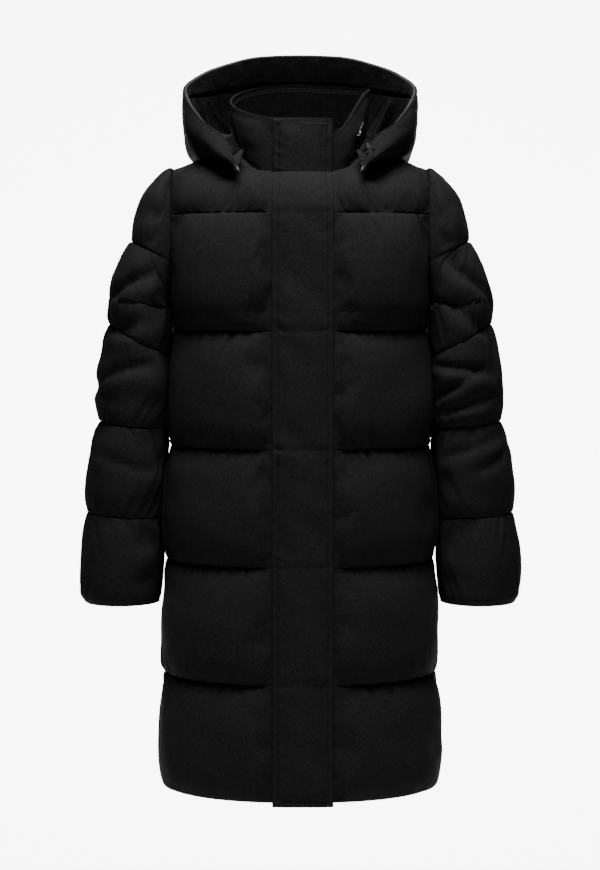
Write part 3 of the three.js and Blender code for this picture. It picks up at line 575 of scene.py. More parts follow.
# %% Swell, gathers and the cloth pass
def gathers(s, v, seed, depth, reach=13.0, pitch=(9.0, 30.0)):
    """Short folds square to the stitching, in millimetres of height."""
    total = np.zeros(s.shape)
    for line in range(1, BAFFLES + 1):
        away = (v - line) * BAFFLE
        for face, sign in ((0, -1.0), (1, 1.0)):
            distance = np.maximum(0, away * sign)
            on_side = (away * sign >= 0)
            fade = (distance / reach) * np.exp(1 - distance / reach)
            shape = ripple(s + 0.25 * away, *pitch, seed + 7 * line + face)
            patchy = 0.55 + 0.45 * ripple(s, 60, 170, seed + 31 * line + face)
            total += on_side * fade * shape * np.clip(patchy, 0.1, 1.4)
    return depth * total


CLOTH_FRAMES = 10
CLOTH_CAP = 7.0


def settle(name, grid, pins, pressure, slack, cap=CLOTH_CAP, frames=CLOTH_FRAMES):
    """Runs the cloth with its stitched points pinned and returns the settled grid."""
    rows, columns = grid.shape[:2]
    faces_in = np.sum(grid_crosses(grid) * (grid - grid.mean(axis=1, keepdims=True))) < 0
    faces = grid_faces(rows, columns, flip=faces_in)
    obj = new_object(name + "_settling", grid.reshape(-1, 3), faces)
    group = obj.vertex_groups.new(name="stitched")
    flat = pins.ravel()
    for level in (1.0, 0.6, 0.25):
        chosen = np.where(np.abs(flat - level) < 0.01)[0]
        if len(chosen):
            group.add([int(k) for k in chosen], float(level), "REPLACE")
    cloth = obj.modifiers.new("cloth", "CLOTH")
    setting = cloth.settings
    setting.quality = 3
    setting.mass = 0.25
    setting.tension_stiffness = 12
    setting.compression_stiffness = 12
    setting.shear_stiffness = 4
    setting.bending_stiffness = 0.35
    setting.tension_damping = 12
    setting.compression_damping = 12
    setting.vertex_group_mass = "stitched"
    setting.pin_stiffness = 1.0
    setting.shrink_min = -slack
    setting.use_pressure = True
    setting.uniform_pressure_force = pressure
    setting.effector_weights.gravity = 0
    cloth.collision_settings.use_collision = False
    cloth.point_cache.frame_start = 1
    cloth.point_cache.frame_end = frames
    scene = bpy.context.scene
    for number in range(1, frames + 1):
        scene.frame_set(number)
    evaluated = obj.evaluated_get(bpy.context.evaluated_depsgraph_get())
    found = np.zeros(rows * columns * 3)
    evaluated.data.vertices.foreach_get("co", found)
    settled = found.reshape(rows, columns, 3) / MM
    mesh = obj.data
    bpy.data.objects.remove(obj)
    bpy.data.meshes.remove(mesh)
    scene.frame_set(1)
    move = settled - grid
    length = np.linalg.norm(move, axis=-1, keepdims=True)
    print(f"{name}: cloth moved {length.mean():.1f} mm on average, {length.max():.1f} at most")
    capped = cap * np.tanh(length / cap)
    return grid + move * capped / np.maximum(length, 1e-6)


ROWS_A_BAFFLE = 30


def rows_between(count, rows_each, closeness=0.8):
    """Row numbers from 0 to count, closer together beside each whole number."""
    even = np.linspace(0, 1, rows_each + 1)[:-1]
    close = lerp(even, (1 - np.cos(np.pi * even)) / 2, closeness)
    return np.append(np.concatenate([k + close for k in range(count)]), count)


BODY_ROWS = rows_between(BAFFLES + 1, ROWS_A_BAFFLE)


GATHER_DEPTH, UNEVEN_DEPTH = 1.5, 1.6
STITCH_DENT, DENT_WIDTH = 1.3, 1.7


def stitch_distance(v):
    """Millimetres from the nearest line of quilting."""
    return np.abs(v - np.clip(np.round(v), 1, BAFFLES)) * BAFFLE


def spaced_columns(count, first=0.0):
    return first + (1 - first) * np.linspace(0, 1, count)


def body_panel(side, face, seed, columns):
    w = spaced_columns(columns)
    grid, v, w, j, z, pattern, second_x = body_grid(side, face, BODY_ROWS, w)
    normals = body_normals(grid, side, face, z, j)
    t = np.where(v <= BAFFLES, v - np.floor(np.minimum(v, BAFFLES - 1e-9)), v - BAFFLES)
    t = np.where((v >= BAFFLES - 1e-9) & (v <= BAFFLES), 1.0, t)
    low = v <= BAFFLES
    near = np.exp(-((j - NECK_COLUMNS) / 2.4) ** 2)
    across = np.abs(grid[..., 0])
    from_centre = 1.0 if face > 0 else smooth(second_x - FLAP_MARGIN - 4, second_x + 16, across)
    to_side = np.where(low, smooth(0, 0.4, 1 - w), 1 - smooth(0.8, 1, w))
    on_armhole = (z > ARM_PIT) | ~low
    side_puff = np.where(on_armhole, 0, SIDE_PUFF * np.where(z > -238, 0.2, 1.0))
    puff = np.where(low, BODY_PUFF, SHOULDER_PUFF * (1 - 0.75 * near))
    puff = lerp(side_puff, puff, to_side) * from_centre
    s, d = grid_lengths(grid)
    full = fullness(t)
    height = puff * full
    edge_fade = smooth(0, 0.06, 1 - w)
    if face < 0:
        edge_fade = edge_fade * smooth(second_x - 2, second_x + 14, across)
    top_fade = 1 - smooth(BAFFLES + 0.75, BAFFLES + 1, v)
    hem_fade = smooth(0, 0.12, v)
    height = height + gathers(s, v, seed, GATHER_DEPTH) * edge_fade * top_fade
    dent = STITCH_DENT * np.exp(-(stitch_distance(v) / DENT_WIDTH) ** 2)
    height = height - dent * edge_fade * hem_fade * top_fade
    uneven = UNEVEN_DEPTH * waves(s, d, 70, 190, seed + 400)
    height = height + uneven * full * edge_fade * top_fade * hem_fade
    height = np.where((v == 0) | (v >= BAFFLES + 1), 0, height)
    outer = grid + normals * (WALL + np.maximum(height, -1.2))[..., None]
    limit = z > ARM_PIT - 40
    held = side * np.minimum(np.abs(outer[..., 0]), ARM_X - HALF_GAP)
    outer[..., 0] = np.where(limit, held, outer[..., 0])
    return dict(inner=grid, outer=outer, v=v, w=w, s=s, d=d, normals=normals)


def quilt_pins(v):
    """Pins on the stitched rows and the panel's edges."""
    row = np.abs(v - np.round(v)) < 1e-6
    pins = np.where(row, 1.0, 0.0)
    pins[0] = pins[-1] = 1.0
    pins[:, 0] = pins[:, -1] = 1.0
    return pins


# %% Fronts
FRONT_GRID_COLUMNS = 96
panels = {}
for side, name, seed in ((-1, "front_right", 11), (1, "front_left", 57)):
    panel = body_panel(side, -1, seed, FRONT_GRID_COLUMNS)
    pins = quilt_pins(panel["v"])
    under_flap = panel["w"] < 1.0 / FRONT_COLUMNS
    pins = np.where(under_flap, 1.0, pins)
    panel["outer"] = settle(name, panel["outer"], pins, 2.5, 0.02)
    panels[name] = panel
    coat_piece = cloth_wall(name + "_cloth", panel["outer"], panel["inner"])
    lengths = [f"{name}_{part}" for part in ("low", "middle", "high")]
    finish_piece(coat_piece, shell_cloth, "shell", *lengths, fill=0.6)
print("fronts made")

# %% Back
halves = [body_panel(side, 1, 83, FRONT_GRID_COLUMNS - 12) for side in (-1, 1)]
back = {key: np.concatenate([halves[0][key][:, :0:-1], halves[1][key]], axis=1)
        for key in ("inner", "outer", "v", "w")}
back_s, back_d = grid_lengths(back["inner"])
back_normals = np.concatenate([halves[0]["normals"][:, :0:-1], halves[1]["normals"]], axis=1)
uneven = 1.2 * waves(back_s, back_d, 60, 150, 301) * smooth(0, 0.1, 1 - np.abs(back["w"]))
uneven[0] = uneven[-1] = 0
uneven = uneven * (1 - smooth(BAFFLES + 0.7, BAFFLES + 1, back["v"]))
back["outer"] = back["outer"] + back_normals * uneven[..., None]
back["outer"] = settle("back", back["outer"], quilt_pins(back["v"]), 2.5, 0.02)
back_piece = cloth_wall("back_cloth", back["outer"], back["inner"])
finish_piece(back_piece, shell_cloth, "shell", "back_low", "back_middle", "back_high",
             "back_yoke", fill=0.6)
print("back made")

# %% [markdown]
# ## Sleeves
# A set-in sleeve is a tube whose first rows end on the armhole and whose later rows go all
# round. It hangs beside the body without touching it. The elbows crease most: cloth that is
# bent inside shows short diagonal folds which run out towards the outside of the arm.

# %% Sleeve surface
SLEEVE_KEYS = ("t", "joint", "outX", "outZ", "inX", "inZ", "depth", "y")
SLEEVE_TABLE = np.array([
    (0, 0.1, 188, -3, 188, 0, 26, 0),
    (0.25, 0.2265, 203, -13, 188, 0, 53, 0),
    (0.5, 0.353, 219, -37, 188, 0, 70, -1),
    (0.78, 0.48, 236, -72, 188, 0, 77, -2),
    (1, 0.606, 248, -108, 188, 0, 80, -3),
    (1.13, 0.7, 254, -124, 188, 0, 81, -4),
    (1.32, 0.8, 261, -146, 188, 0, 81, -5),
    (1.52, 0.9, 267, -170, 188, 0, 81, -6),
    (1.74, 1, 273, -197, 188.2, -205, 80, -8),
    (2, 2, 279, -228, 190, -278, 78, -12),
    (3, 2, 293, -372, 196, -381, 70, -18),
    (4, 2, 311, -507, 203, -512, 62, -24),
    (5, 2, 317, -640, 212, -640, 57, -28),
], float)
SLEEVE_END = 5
PINNED_TO = 1.74
SLEEVE_TO_BODY = 3.0


def sleeve_value(key, t):
    column = SLEEVE_TABLE[:, SLEEVE_KEYS.index(key)]
    known = SLEEVE_TABLE[:, 0]
    if key in ("joint", "inX", "inZ"):
        return np.interp(t, known, column)
    offsets = np.linspace(-0.16, 0.16, 9)
    weight = np.exp(-(offsets / 0.09) ** 2)
    inside = np.minimum(1, np.minimum(t, SLEEVE_END - t) / 0.16)
    values = [np.interp(t + o * inside, known, column) for o in offsets]
    return np.tensordot(weight / weight.sum(), np.array(values), axes=1)


def body_side(y, z):
    """Half width of the body's outside, where a sleeve must keep clear."""
    t = np.mod((z - HEM_Z) / BAFFLE, 1)
    puff = fullness(t)
    half = section("half", z) + WALL + SIDE_PUFF * puff
    depth = np.where(y < 0, section("front", z), section("back", z)) + WALL + BODY_PUFF * puff
    power = section("power", z)
    return half * np.maximum(0, 1 - (np.abs(y) / depth) ** power) ** (1 / power)


ARM_PLANE = ARM_X + HALF_GAP


def clear_of_body(p, side, extra):
    x, y, z = np.abs(p[..., 0]), p[..., 1], p[..., 2]
    limit = np.maximum(body_side(y, z) + SLEEVE_TO_BODY + extra, np.where(z > -250, ARM_PLANE, 0))
    limit = np.where(z > ARM_PIT, ARM_PLANE, limit)
    return stack(side * np.maximum(x, limit), y, z)


def sleeve_grid(side, rows, columns):
    t, share = np.meshgrid(rows, columns, indexing="ij")
    face = np.where(share < 0, -1, 1)
    joint = np.where(t <= PINNED_TO, sleeve_value("joint", np.minimum(t, PINNED_TO)), 2.0)
    pinned = t <= PINNED_TO
    end = armhole(side, face, np.minimum(joint, 1))
    end_x = np.where(pinned, ARM_X, sleeve_value("inX", t))
    end_y = np.where(pinned, np.abs(end[..., 1]), 0)
    end_z = np.where(pinned, end[..., 2], sleeve_value("inZ", t))
    depth = sleeve_value("depth", t)
    last = np.where(pinned, np.pi - np.arcsin(np.minimum(1, end_y / depth)), np.pi)
    turn = share * last
    f = (np.cos(turn) - np.cos(last)) / (1 - np.cos(last))
    x = lerp(end_x, sleeve_value("outX", t), f)
    arc = face * end_y * np.sin(np.abs(turn)) / np.maximum(np.sin(last), 1e-6)
    round_arm = depth * np.sin(turn)
    y = np.where(pinned & (end_y > 1), arc, round_arm)
    ending = np.abs(share) > 1 - 1e-9
    y = y + sleeve_value("y", t) * np.where(pinned, f, 1.0)
    y = y + np.where(~pinned & ending, face * HALF_GAP, 0)
    z = lerp(end_z, sleeve_value("outZ", t), f)
    base = stack(side * x, y, z)
    first = armhole(side, face, 0.1 * np.abs(share))
    base = lerp(first, base, smooth(0, 0.3, t)[..., None])
    base[..., 0] = np.where((t == 0) | (pinned & ending), side * ARM_PLANE, base[..., 0])
    cleared = clear_of_body(base, side, WALL)
    held = side * np.maximum(np.abs(base[..., 0]), ARM_PLANE)
    base[..., 0] = np.where(pinned, held, cleared[..., 0])
    return base, t, share, joint, pinned, end


SLEEVE_ROWS_A_BAFFLE = 26
SLEEVE_T = np.unique(np.append(rows_between(SLEEVE_END, SLEEVE_ROWS_A_BAFFLE), PINNED_TO))
SLEEVE_SHARE = np.linspace(-1, 1, 113)

# s0, d0, s1, d1, width, depth in degrees round the arm and quilting numbers down it
SLEEVE_CREASES = {
    -1: [(-118, 1.2, -20, 1.75, 0.075, 4.5), (-120, 1.75, -35, 2.05, 0.06, 3.5),
         (-100, 2.25, -10, 2.65, 0.06, 3.0), (-60, 2.75, 20, 2.6, 0.05, 2.2),
         (-110, 3.45, -30, 3.3, 0.05, 2.0), (60, 1.4, 130, 1.9, 0.07, 3.5)],
    1: [(-125, 1.0, -30, 1.7, 0.08, 5.0), (-130, 1.55, -50, 2.0, 0.06, 4.0),
        (-135, 2.15, -55, 2.45, 0.055, 4.5), (-140, 2.6, -70, 2.4, 0.05, 4.5),
        (-130, 2.8, -50, 2.7, 0.05, 4.0), (-120, 3.3, -20, 3.1, 0.05, 2.6),
        (-90, 3.5, -10, 3.25, 0.05, 2.2), (60, 1.5, 130, 2.0, 0.07, 3.5)],
}


CREASE_STRENGTH = 1.5


def sleeve_creases(share, t, table):
    """Creases laid out in degrees and quilting numbers, widened evenly in both."""
    total = np.zeros(t.shape)
    degrees = share * 180
    for a0, t0, a1, t1, width, depth in table:
        run = np.array([(a1 - a0) / 100, t1 - t0], float)
        length = np.hypot(*run)
        run /= length
        da, dt = (degrees - a0) / 100, t - t0
        along = da * run[0] + dt * run[1]
        across = -da * run[1] + dt * run[0]
        past = np.maximum(0, np.maximum(-along, along - length))
        middle = 0.5 + 0.5 * np.sin(np.pi * np.clip(along / length, 0, 1))
        fade = np.exp(-(past / 0.12) ** 2) * middle
        total -= depth * fade * np.exp(-(across / width) ** 2)
        total += 0.45 * depth * fade * np.exp(-((across - 2.1 * width) / (1.3 * width)) ** 2)
    return total


SLEEVE_BAFFLE = 135
SLEEVE_GATHERS, SLEEVE_UNEVEN = 1.3, 1.2


def sleeve_gathers(s, t, seed, depth):
    total = np.zeros(t.shape)
    for line in range(1, SLEEVE_END + 1):
        for below, sign in ((0, -1.0), (1, 1.0)):
            if line == SLEEVE_END and below:
                continue
            distance = np.maximum(0, (t - line) * sign) * SLEEVE_BAFFLE
            fade = (distance / 20) * np.exp(1 - distance / 20) * ((t - line) * sign >= 0)
            shape = ripple(s + 0.3 * distance, 10, 30, seed + 5 * line + below)
            patchy = 0.55 + 0.45 * ripple(s, 40, 120, seed + 17 * line + below)
            total += fade * shape * np.clip(patchy, 0.1, 1.4)
    return depth * total


def make_sleeve(side, name, seed):
    base, t, share, _, pinned, _ = sleeve_grid(side, SLEEVE_T, SLEEVE_SHARE)
    middle = side * (sleeve_value("inX", t) + sleeve_value("outX", t)) / 2
    axis = stack(middle, sleeve_value("y", t),
                 np.where(t < 1.75, lerp(sleeve_value("outZ", t), -150, 0.6),
                          lerp(sleeve_value("outZ", t), sleeve_value("inZ", t), 0.5)))
    normals = grid_normals(base, axis)
    blend = (1 - smooth(1.7, 2.2, t))[:, 0, None]
    on_body = (t[:, 0] <= PINNED_TO)[:, None] * 1.0
    for column in (0, -1):
        rim = armhole_out(base[:, column])
        ring = unit(stack(-side + 0 * t[:, 0], 0 * t[:, 0], normals[:, column, 2] * 0.3))
        normals[:, column] = unit(lerp(ring, rim, on_body) + 1e-6 * blend)
    normals[0] = armhole_out(base[0])
    normals[-1] = unit(normals[-1] * [1, 1, 0])
    degrees = np.abs(share) * 180
    local = t - np.floor(t)
    puff = SLEEVE_PUFF * fullness(1 - local)
    puff = np.where(np.abs(t - np.round(t)) < 1e-6, 0, puff)
    fade = np.where(pinned, 1 - smooth(0.7, 1, np.abs(share)), 1.0)
    puff = puff * fade * (1 - 0.7 * smooth(110, 170, degrees))
    s, d = grid_lengths(base)
    edges = smooth(0, 0.05, 1 - np.abs(share)) * smooth(0, 0.1, t) * smooth(0, 0.04, SLEEVE_END - t)
    inward = 1 - 0.6 * smooth(110, 170, degrees)
    height = puff + sleeve_gathers(s, t, seed, SLEEVE_GATHERS) * edges * inward
    height += CREASE_STRENGTH * sleeve_creases(share, t, SLEEVE_CREASES[side]) * edges * inward
    from_stitch = np.abs(t - np.clip(np.round(t), 1, SLEEVE_END - 1)) * SLEEVE_BAFFLE
    height -= STITCH_DENT * np.exp(-(from_stitch / DENT_WIDTH) ** 2) * edges * inward
    full = np.clip(puff / SLEEVE_PUFF, 0, 1)
    height += SLEEVE_UNEVEN * waves(s, d, 45, 130, seed + 90) * full * edges * inward
    cuff = np.exp(-((SLEEVE_END - t) / 0.05) ** 2)
    height = height * (1 - cuff) - 0.5 * cuff
    outer = base + normals * (WALL + np.maximum(height, -1.5))[..., None]
    outer[..., 0] = np.where(pinned, side * np.maximum(np.abs(outer[..., 0]), ARM_PLANE),
                             clear_of_body(outer, side, 0)[..., 0])
    pins = np.where(np.abs(t - np.round(t)) < 1e-6, 1.0, 0.0)
    pins[0] = pins[-1] = 1
    pins[:, 0] = pins[:, -1] = 1
    pins = np.where((np.abs(share) > 0.8), 1.0, pins)
    outer = settle(name, outer, pins, 2.0, 0.03, cap=5.0)
    obj = cloth_wall(name + "_cloth", outer, base)
    finish_piece(obj, shell_cloth, "shell", name, fill=0.6)


for side, name, seed in ((-1, "sleeve_right", 140), (1, "sleeve_left", 190)):
    make_sleeve(side, name, seed)
print("sleeves made")

# %% [markdown]
# ## Collar
# The stand collar rises from the neck seam and leans out a little. The outside is padded shell;
# the inside is one layer of the same cloth, painted darker and without gloss as painted shade,
# with a double row of stitching under the top edge.

# %% Collar
COLLAR_HEIGHT_STEPS = 26


def collar_base(side, angles, heights):
    h, angle = np.meshgrid(heights, angles, indexing="ij")
    base = lerp(neck_point(side, angle), collar_top(side, angle), h[..., None])
    base[:, 0, 0] = side * FRONT_EDGE
    base[:, -1, 0] = 0
    return base, h, angle


def collar_half(side):
    second_x = FLAP_MARGIN + (FLAP_RIGHT if side > 0 else -FLAP_LEFT)
    first = np.degrees(np.arcsin(FRONT_EDGE / NECK["half"]))
    angles = np.linspace(first, 180, 90)
    heights = np.linspace(0, 1, COLLAR_HEIGHT_STEPS)
    base, h, angle = collar_base(side, angles, heights)
    normals = neck_out(base)
    normals[:, 0] = (0, -1, 0)
    under_flap = smooth(second_x - FLAP_MARGIN, second_x + 20, np.abs(base[..., 0]))
    puffed = np.where(angle > 90, 1.0, under_flap)
    s, d = grid_lengths(base)
    swell = COLLAR_PUFF * np.sin(np.pi * h) * puffed
    soft = 0.9 * waves(s, d, 25, 90, 260 + side) * np.sin(np.pi * h) * puffed
    line = -1.1 * np.exp(-((h - 0.9) / 0.03) ** 2) * puffed
    return dict(
        inner=base, outer=base + normals * (WALL + swell + soft + line)[..., None],
        lined=base - normals * SEAM_GAP, normals=normals, h=h, angle=angle, s=s, d=d)


collar_halves = {side: collar_half(side) for side in (-1, 1)}


def round_neck(key):
    return np.concatenate([collar_halves[1][key], collar_halves[-1][key][:, -2::-1]], axis=1)


collar_piece = cloth_wall("collar_cloth", round_neck("outer"), round_neck("inner"))
finish_piece(collar_piece, shell_cloth, "shell", "collar", fill=0.5)

lined = round_neck("lined")
collar_normals = round_neck("normals")
heights = round_neck("h")
inside_s, inside_d = grid_lengths(lined)
facing_soft = 0.35 * waves(inside_s, inside_d, 20, 70, 277) * np.sin(np.pi * heights)
facing_rows = (0.5 * np.exp(-((heights - 0.93) / 0.02) ** 2)
               + 0.5 * np.exp(-((heights - 0.86) / 0.02) ** 2))
liner = lined - collar_normals * (LINING_WALL + facing_soft - facing_rows)[..., None]
collar_inside = cloth_wall("collar_inside_cloth", lined, liner)
# The collar's inside wears the copy of the shell cloth that has painted shade.
finish_piece(collar_inside, inner_shell_cloth_painted_shade, "shell", "collar_inside")
print("collar made")

# %% [markdown]
# ## Storm flap
# A wide padded strip covers the front zip. It is stitched all round a few millimetres inside
# its edges, so the rim stands up as a soft ridge and the middle lies a little fuller.

# %% Storm flap
FLAP_GAP = 0.4
FLAP_STITCH = 8.0


def front_line(x):
    """Outside of front and collar along a line at one distance from the centre."""
    name, side = ("front_right", -1) if x < 0 else ("front_left", 1)
    grid = panels[name]["outer"]
    collar_grid = collar_halves[side]["outer"][1:]
    line = []
    for rows in (grid, collar_grid):
        for row in rows:
            across = np.abs(row[:, 0])
            order = slice(0, int(np.argmax(across > 75)) or None)
            line.append((x, np.interp(abs(x), across[order], row[order, 1]),
                         np.interp(abs(x), across[order], row[order, 2])))
    return np.array(line)


edge_steps = np.array([0, 0.6, 1.6, 3, 4.5, 6, 7, 7.6, 8, 8.4, 9, 10, 12])
flap_x = np.concatenate([FLAP_LEFT + edge_steps, np.linspace(FLAP_LEFT + 14, FLAP_RIGHT - 14, 36),
                         FLAP_RIGHT - edge_steps[::-1]])
flap_lines = np.stack([front_line(x) for x in flap_x], axis=1)
flap_lines = np.concatenate([flap_lines[:1] - [0, 0, FLAP_BELOW], flap_lines])
flap_lines = flap_lines[flap_lines[:, :, 2].max(axis=1) < FLAP_TOP_Z]
top_row = flap_lines[-1:].copy()
top_row[..., 2] = FLAP_TOP_Z
flap_lines = np.concatenate([flap_lines, top_row])
flap_z = np.clip(flap_lines[:, :, 2], HEM_Z - FLAP_BELOW, FLAP_TOP_Z)
flap_near = flap_lines - [0, FLAP_GAP, 0]
X = np.broadcast_to(flap_x, flap_z.shape)
from_edge = np.minimum(X - FLAP_LEFT, FLAP_RIGHT - X)
from_edge = np.minimum(from_edge, FLAP_TOP_Z - flap_z)
from_edge = np.minimum(from_edge, flap_z - (HEM_Z - FLAP_BELOW))
rim = 1 - np.exp(-np.maximum(from_edge, 0) / 1.6)
thick = 2.6 * rim + 1.4 + 2.2 * smooth(FLAP_STITCH, 24, from_edge)
thick -= 2.2 * np.exp(-((from_edge - FLAP_STITCH) / 1.3) ** 2)
pull_left = np.exp(-((X - FLAP_LEFT - FLAP_STITCH) / 9) ** 2)
pull_right = np.exp(-((FLAP_RIGHT - X - FLAP_STITCH) / 9) ** 2)
inside_edge = smooth(0, 5, from_edge)
thick += (0.8 * pull_left * ripple(flap_z + 0.4 * X, 9, 28, 501)
          + 0.5 * pull_right * ripple(flap_z - 0.3 * X, 12, 34, 502)) * inside_edge
thick += 1.1 * waves(X + 0.6 * flap_z, flap_z, 45, 170, 503) * smooth(2, 20, from_edge)
for quilt in range(BAFFLES + 1):
    away = flap_z - (HEM_Z + quilt * BAFFLE)
    valley = 0.9 * np.exp(-(away / 5) ** 2) - 0.35 * np.exp(-((away - 12) / 7) ** 2)
    thick -= valley * inside_edge * (quilt > 0)
flap_far = flap_near - stack(0, np.maximum(thick, 1.0), 0)
flap_piece = cloth_wall("storm_flap_cloth", flap_far, flap_near)
finish_piece(flap_piece, shell_cloth, "shell", "storm_flap", fill=0.3)
print("flap rows", flap_far.shape)

# %% [markdown]
# ## Hood
# The hood is thrown back: it rises from the neck seam, folds over and lies on the shoulders
# behind the collar. Its section at each place is one curve from the seam, under the fold and
# up to the rim. The face opening has a band of shell cloth, painted lighter as painted light,
# and satin lines the rest; the satin's front ends are painted darker and less glossy as
# painted shade.

# %% Hood
HOOD_KEYS = ("seam", "under", "belly", "outer", "rim")
HOOD_AT = np.array([0, 0.12, 0.26, 0.4, 0.52, 0.66, 0.8, 0.9, 1])
HOOD_SECTIONS = np.array([
    [(0, 74, 58), (0, 131, 2), (0, 176, -96), (0, 212, 40), (0, 140, 189)],
    [(38, 69, 57), (50, 126, 6), (60, 170, -88), (78, 203, 42), (74, 130, 185)],
    [(69, 49, 58), (96, 92, 24), (118, 130, -30), (142, 152, 48), (137, 94, 161)],
    [(90, 22, 55), (118, 44, 38), (156, 70, 22), (168, 82, 68), (165, 50, 138)],
    [(95.6, -6, 50), (126, -6, 39), (156, 6, 28), (168, 5, 72), (173, 0, 120)],
    [(96.4, -31.4, 44), (118, -46, 37), (144, -43, 24), (162, -51, 56), (161, -50, 92)],
    [(94, -52, 34), (108, -74, 30), (122, -80, 18), (136, -89, 34), (135, -84, 58)],
    [(89, -64, 26), (98, -88, 20), (106, -104, 10), (112, -104, 18), (106, -88, 42)],
    [(82, -76, 20), (84, -92, 14), (86, -106, 5), (88, -113, -8), (88, -120, -12)],
], float)
FACING_FROM = 0.92
LINING_TO = 0.97
HOOD_STEPS = np.unique(np.concatenate([np.linspace(0, 1, 61), [FACING_FROM]]))
HOOD_ACROSS = np.linspace(-1, 1, 181)


def hood_lines():
    """The five guide points of the hood's section, at each place round it."""
    at = np.abs(HOOD_ACROSS)
    lines = np.stack([[np.interp(at, HOOD_AT, HOOD_SECTIONS[:, k, c]) for c in range(3)]
                      for k in range(len(HOOD_KEYS))])
    lines = np.moveaxis(lines, 2, 0)
    lines[:, :, 0] *= np.sign(HOOD_ACROSS)[:, None]
    weight = np.exp(-(np.arange(-7, 8) / 4.0) ** 2)
    before, after = 2 * lines[:1] - lines[7:0:-1], 2 * lines[-1:] - lines[-2:-9:-1]
    padded = np.concatenate([before, lines, after])
    spread = sum(w * padded[k:k + len(lines)] for k, w in enumerate(weight / weight.sum()))
    spread[0], spread[-1] = lines[0], lines[-1]
    return spread


def curve_through(lines, t):
    """Smooth curve through each column's guide points, at shares t of its length."""
    count = lines.shape[1]
    at = np.clip(t * (count - 1), 0, count - 1 - 1e-9)
    i = np.floor(at).astype(int)
    u = (at - i)[:, None, None]

    def p(k):
        return np.swapaxes(lines, 0, 1)[np.clip(i + k, 0, count - 1)]

    a, b, c, d = p(-1), p(0), p(1), p(2)
    square, cube = 2 * a - 5 * b + 4 * c - d, 3 * b - a - 3 * c + d
    return 0.5 * (2 * b + (c - a) * u + square * u ** 2 + cube * u ** 3)


hood_guides = hood_lines()
hood_base = curve_through(hood_guides, HOOD_STEPS)
hood_middle = (hood_guides[:, 0] + hood_guides[:, -1])[None] / 2
HOOD_UNEVEN = 1.8
hood_normals = grid_normals(hood_base, np.broadcast_to(hood_middle, hood_base.shape))
hood_t, hood_at = np.meshgrid(HOOD_STEPS, HOOD_ACROSS, indexing="ij")
hood_s, hood_d = grid_lengths(hood_base)
hood_swell = HOOD_PUFF * np.sin(np.pi * hood_t) * (1 - smooth(0.6, 1, np.abs(hood_at)))
hood_soft = HOOD_UNEVEN * waves(hood_s, hood_d, 40, 150, 601) * np.sin(np.pi * hood_t)
hood_soft = hood_soft * (1 - 0.6 * np.abs(hood_at))
edge_line = -1.0 * np.exp(-((hood_t - 0.955) / 0.008) ** 2)
hood_outer = hood_base + hood_normals * (WALL + hood_swell + hood_soft + edge_line)[..., None]
hood_shell = cloth_wall("hood_shell_cloth", hood_outer, hood_base)
finish_piece(hood_shell, shell_cloth, "shell", "hood_shell", fill=0.4)

facing_rows = HOOD_STEPS >= FACING_FROM - 1e-9
facing_out = (hood_base - hood_normals * SEAM_GAP)[facing_rows]
facing_soft = 0.5 * waves(hood_s, hood_d, 25, 90, 611)[facing_rows] * np.sin(
    np.pi * np.clip((hood_t[facing_rows] - FACING_FROM) / (1 - FACING_FROM), 0, 1))
facing_in = facing_out - hood_normals[facing_rows] * (LINING_WALL + facing_soft)[..., None]
facing_piece = cloth_wall("hood_facing_cloth", facing_out, facing_in)
# The facing wears the copy of the shell cloth that has painted light.
finish_piece(facing_piece, facing_cloth_painted_light, "shell", "hood_facing")

lining_rows = HOOD_STEPS < FACING_FROM - 0.012
lining_columns = np.abs(HOOD_ACROSS) <= LINING_TO
pick = np.ix_(lining_rows, lining_columns)
lining_t = hood_t[pick]
lining_edge = np.clip(np.sin(np.pi * np.clip(lining_t / lining_t.max(), 0, 1)), 0, 1) ** 0.5
lining_edge = lining_edge * smooth(0, 0.08, LINING_TO - np.abs(hood_at[pick]))
crumple = (4.0 * np.abs(waves(hood_s, hood_d, 22, 70, 621))[pick]
           + 6.0 * np.maximum(0, waves(hood_s, hood_d, 40, 120, 622))[pick])
lining_out = (hood_base - hood_normals * SEAM_GAP)[pick]
lining_in = lining_out - hood_normals[pick] * (LINING_WALL + crumple * lining_edge)[..., None]
lining_piece = cloth_wall("hood_lining_cloth", lining_out, lining_in)
# Where the satin gets its painted shade: towards its front ends, in the collar's shade.
front_end = smooth(0.5, 0.66, np.abs(hood_at[pick])).ravel()
marks = lining_piece.data.attributes.new("front_end", "FLOAT", "POINT")
marks.data.foreach_set("value", np.concatenate([front_end, front_end]))
finish_piece(lining_piece, satin, "satin_lining", "hood_lining")
for thin in (collar_inside, facing_piece, lining_piece):
    print(thin.name, "area", round(one_side_area(thin), 4))
print("hood made")

# %% [markdown]
# ## Zips and pocket edges
# The front zip lies under the flap, two more close vents in the side seams above the hem, and
# two narrow welts edge the side pockets. Each zip is a tape with a row of small closed teeth;
# the teeth repeat, so a Geometry Nodes tree sets one on every point along the tape's middle.

# %% Tapes and welts
def strip_between(name, nodes, lines_near, lines_far, material, slot):
    obj = cloth_wall(name, lines_far, lines_near)
    finish_piece(obj, material, slot, *nodes)
    return obj


zip_x = np.array([-ZIP_HALF, -3.2, 0, 3.2, ZIP_HALF])
zip_edges = [np.sign(x + 1e-9) * max(abs(x), FRONT_EDGE) for x in zip_x]
zip_lines = np.stack([front_line(x) for x in zip_edges], axis=1)
zip_lines[..., 0] = zip_x
zip_lines = zip_lines[zip_lines[:, 0, 2] < FLAP_TOP_Z - 12]
zip_near = zip_lines - [0, SEAM_GAP - WALL, 0]
zip_far = zip_near - [0, WALL - 0.6, 0]
strip_between("front_zip_tape", ["front_zip"], zip_near, zip_far, zip_tape, "zip_tape")

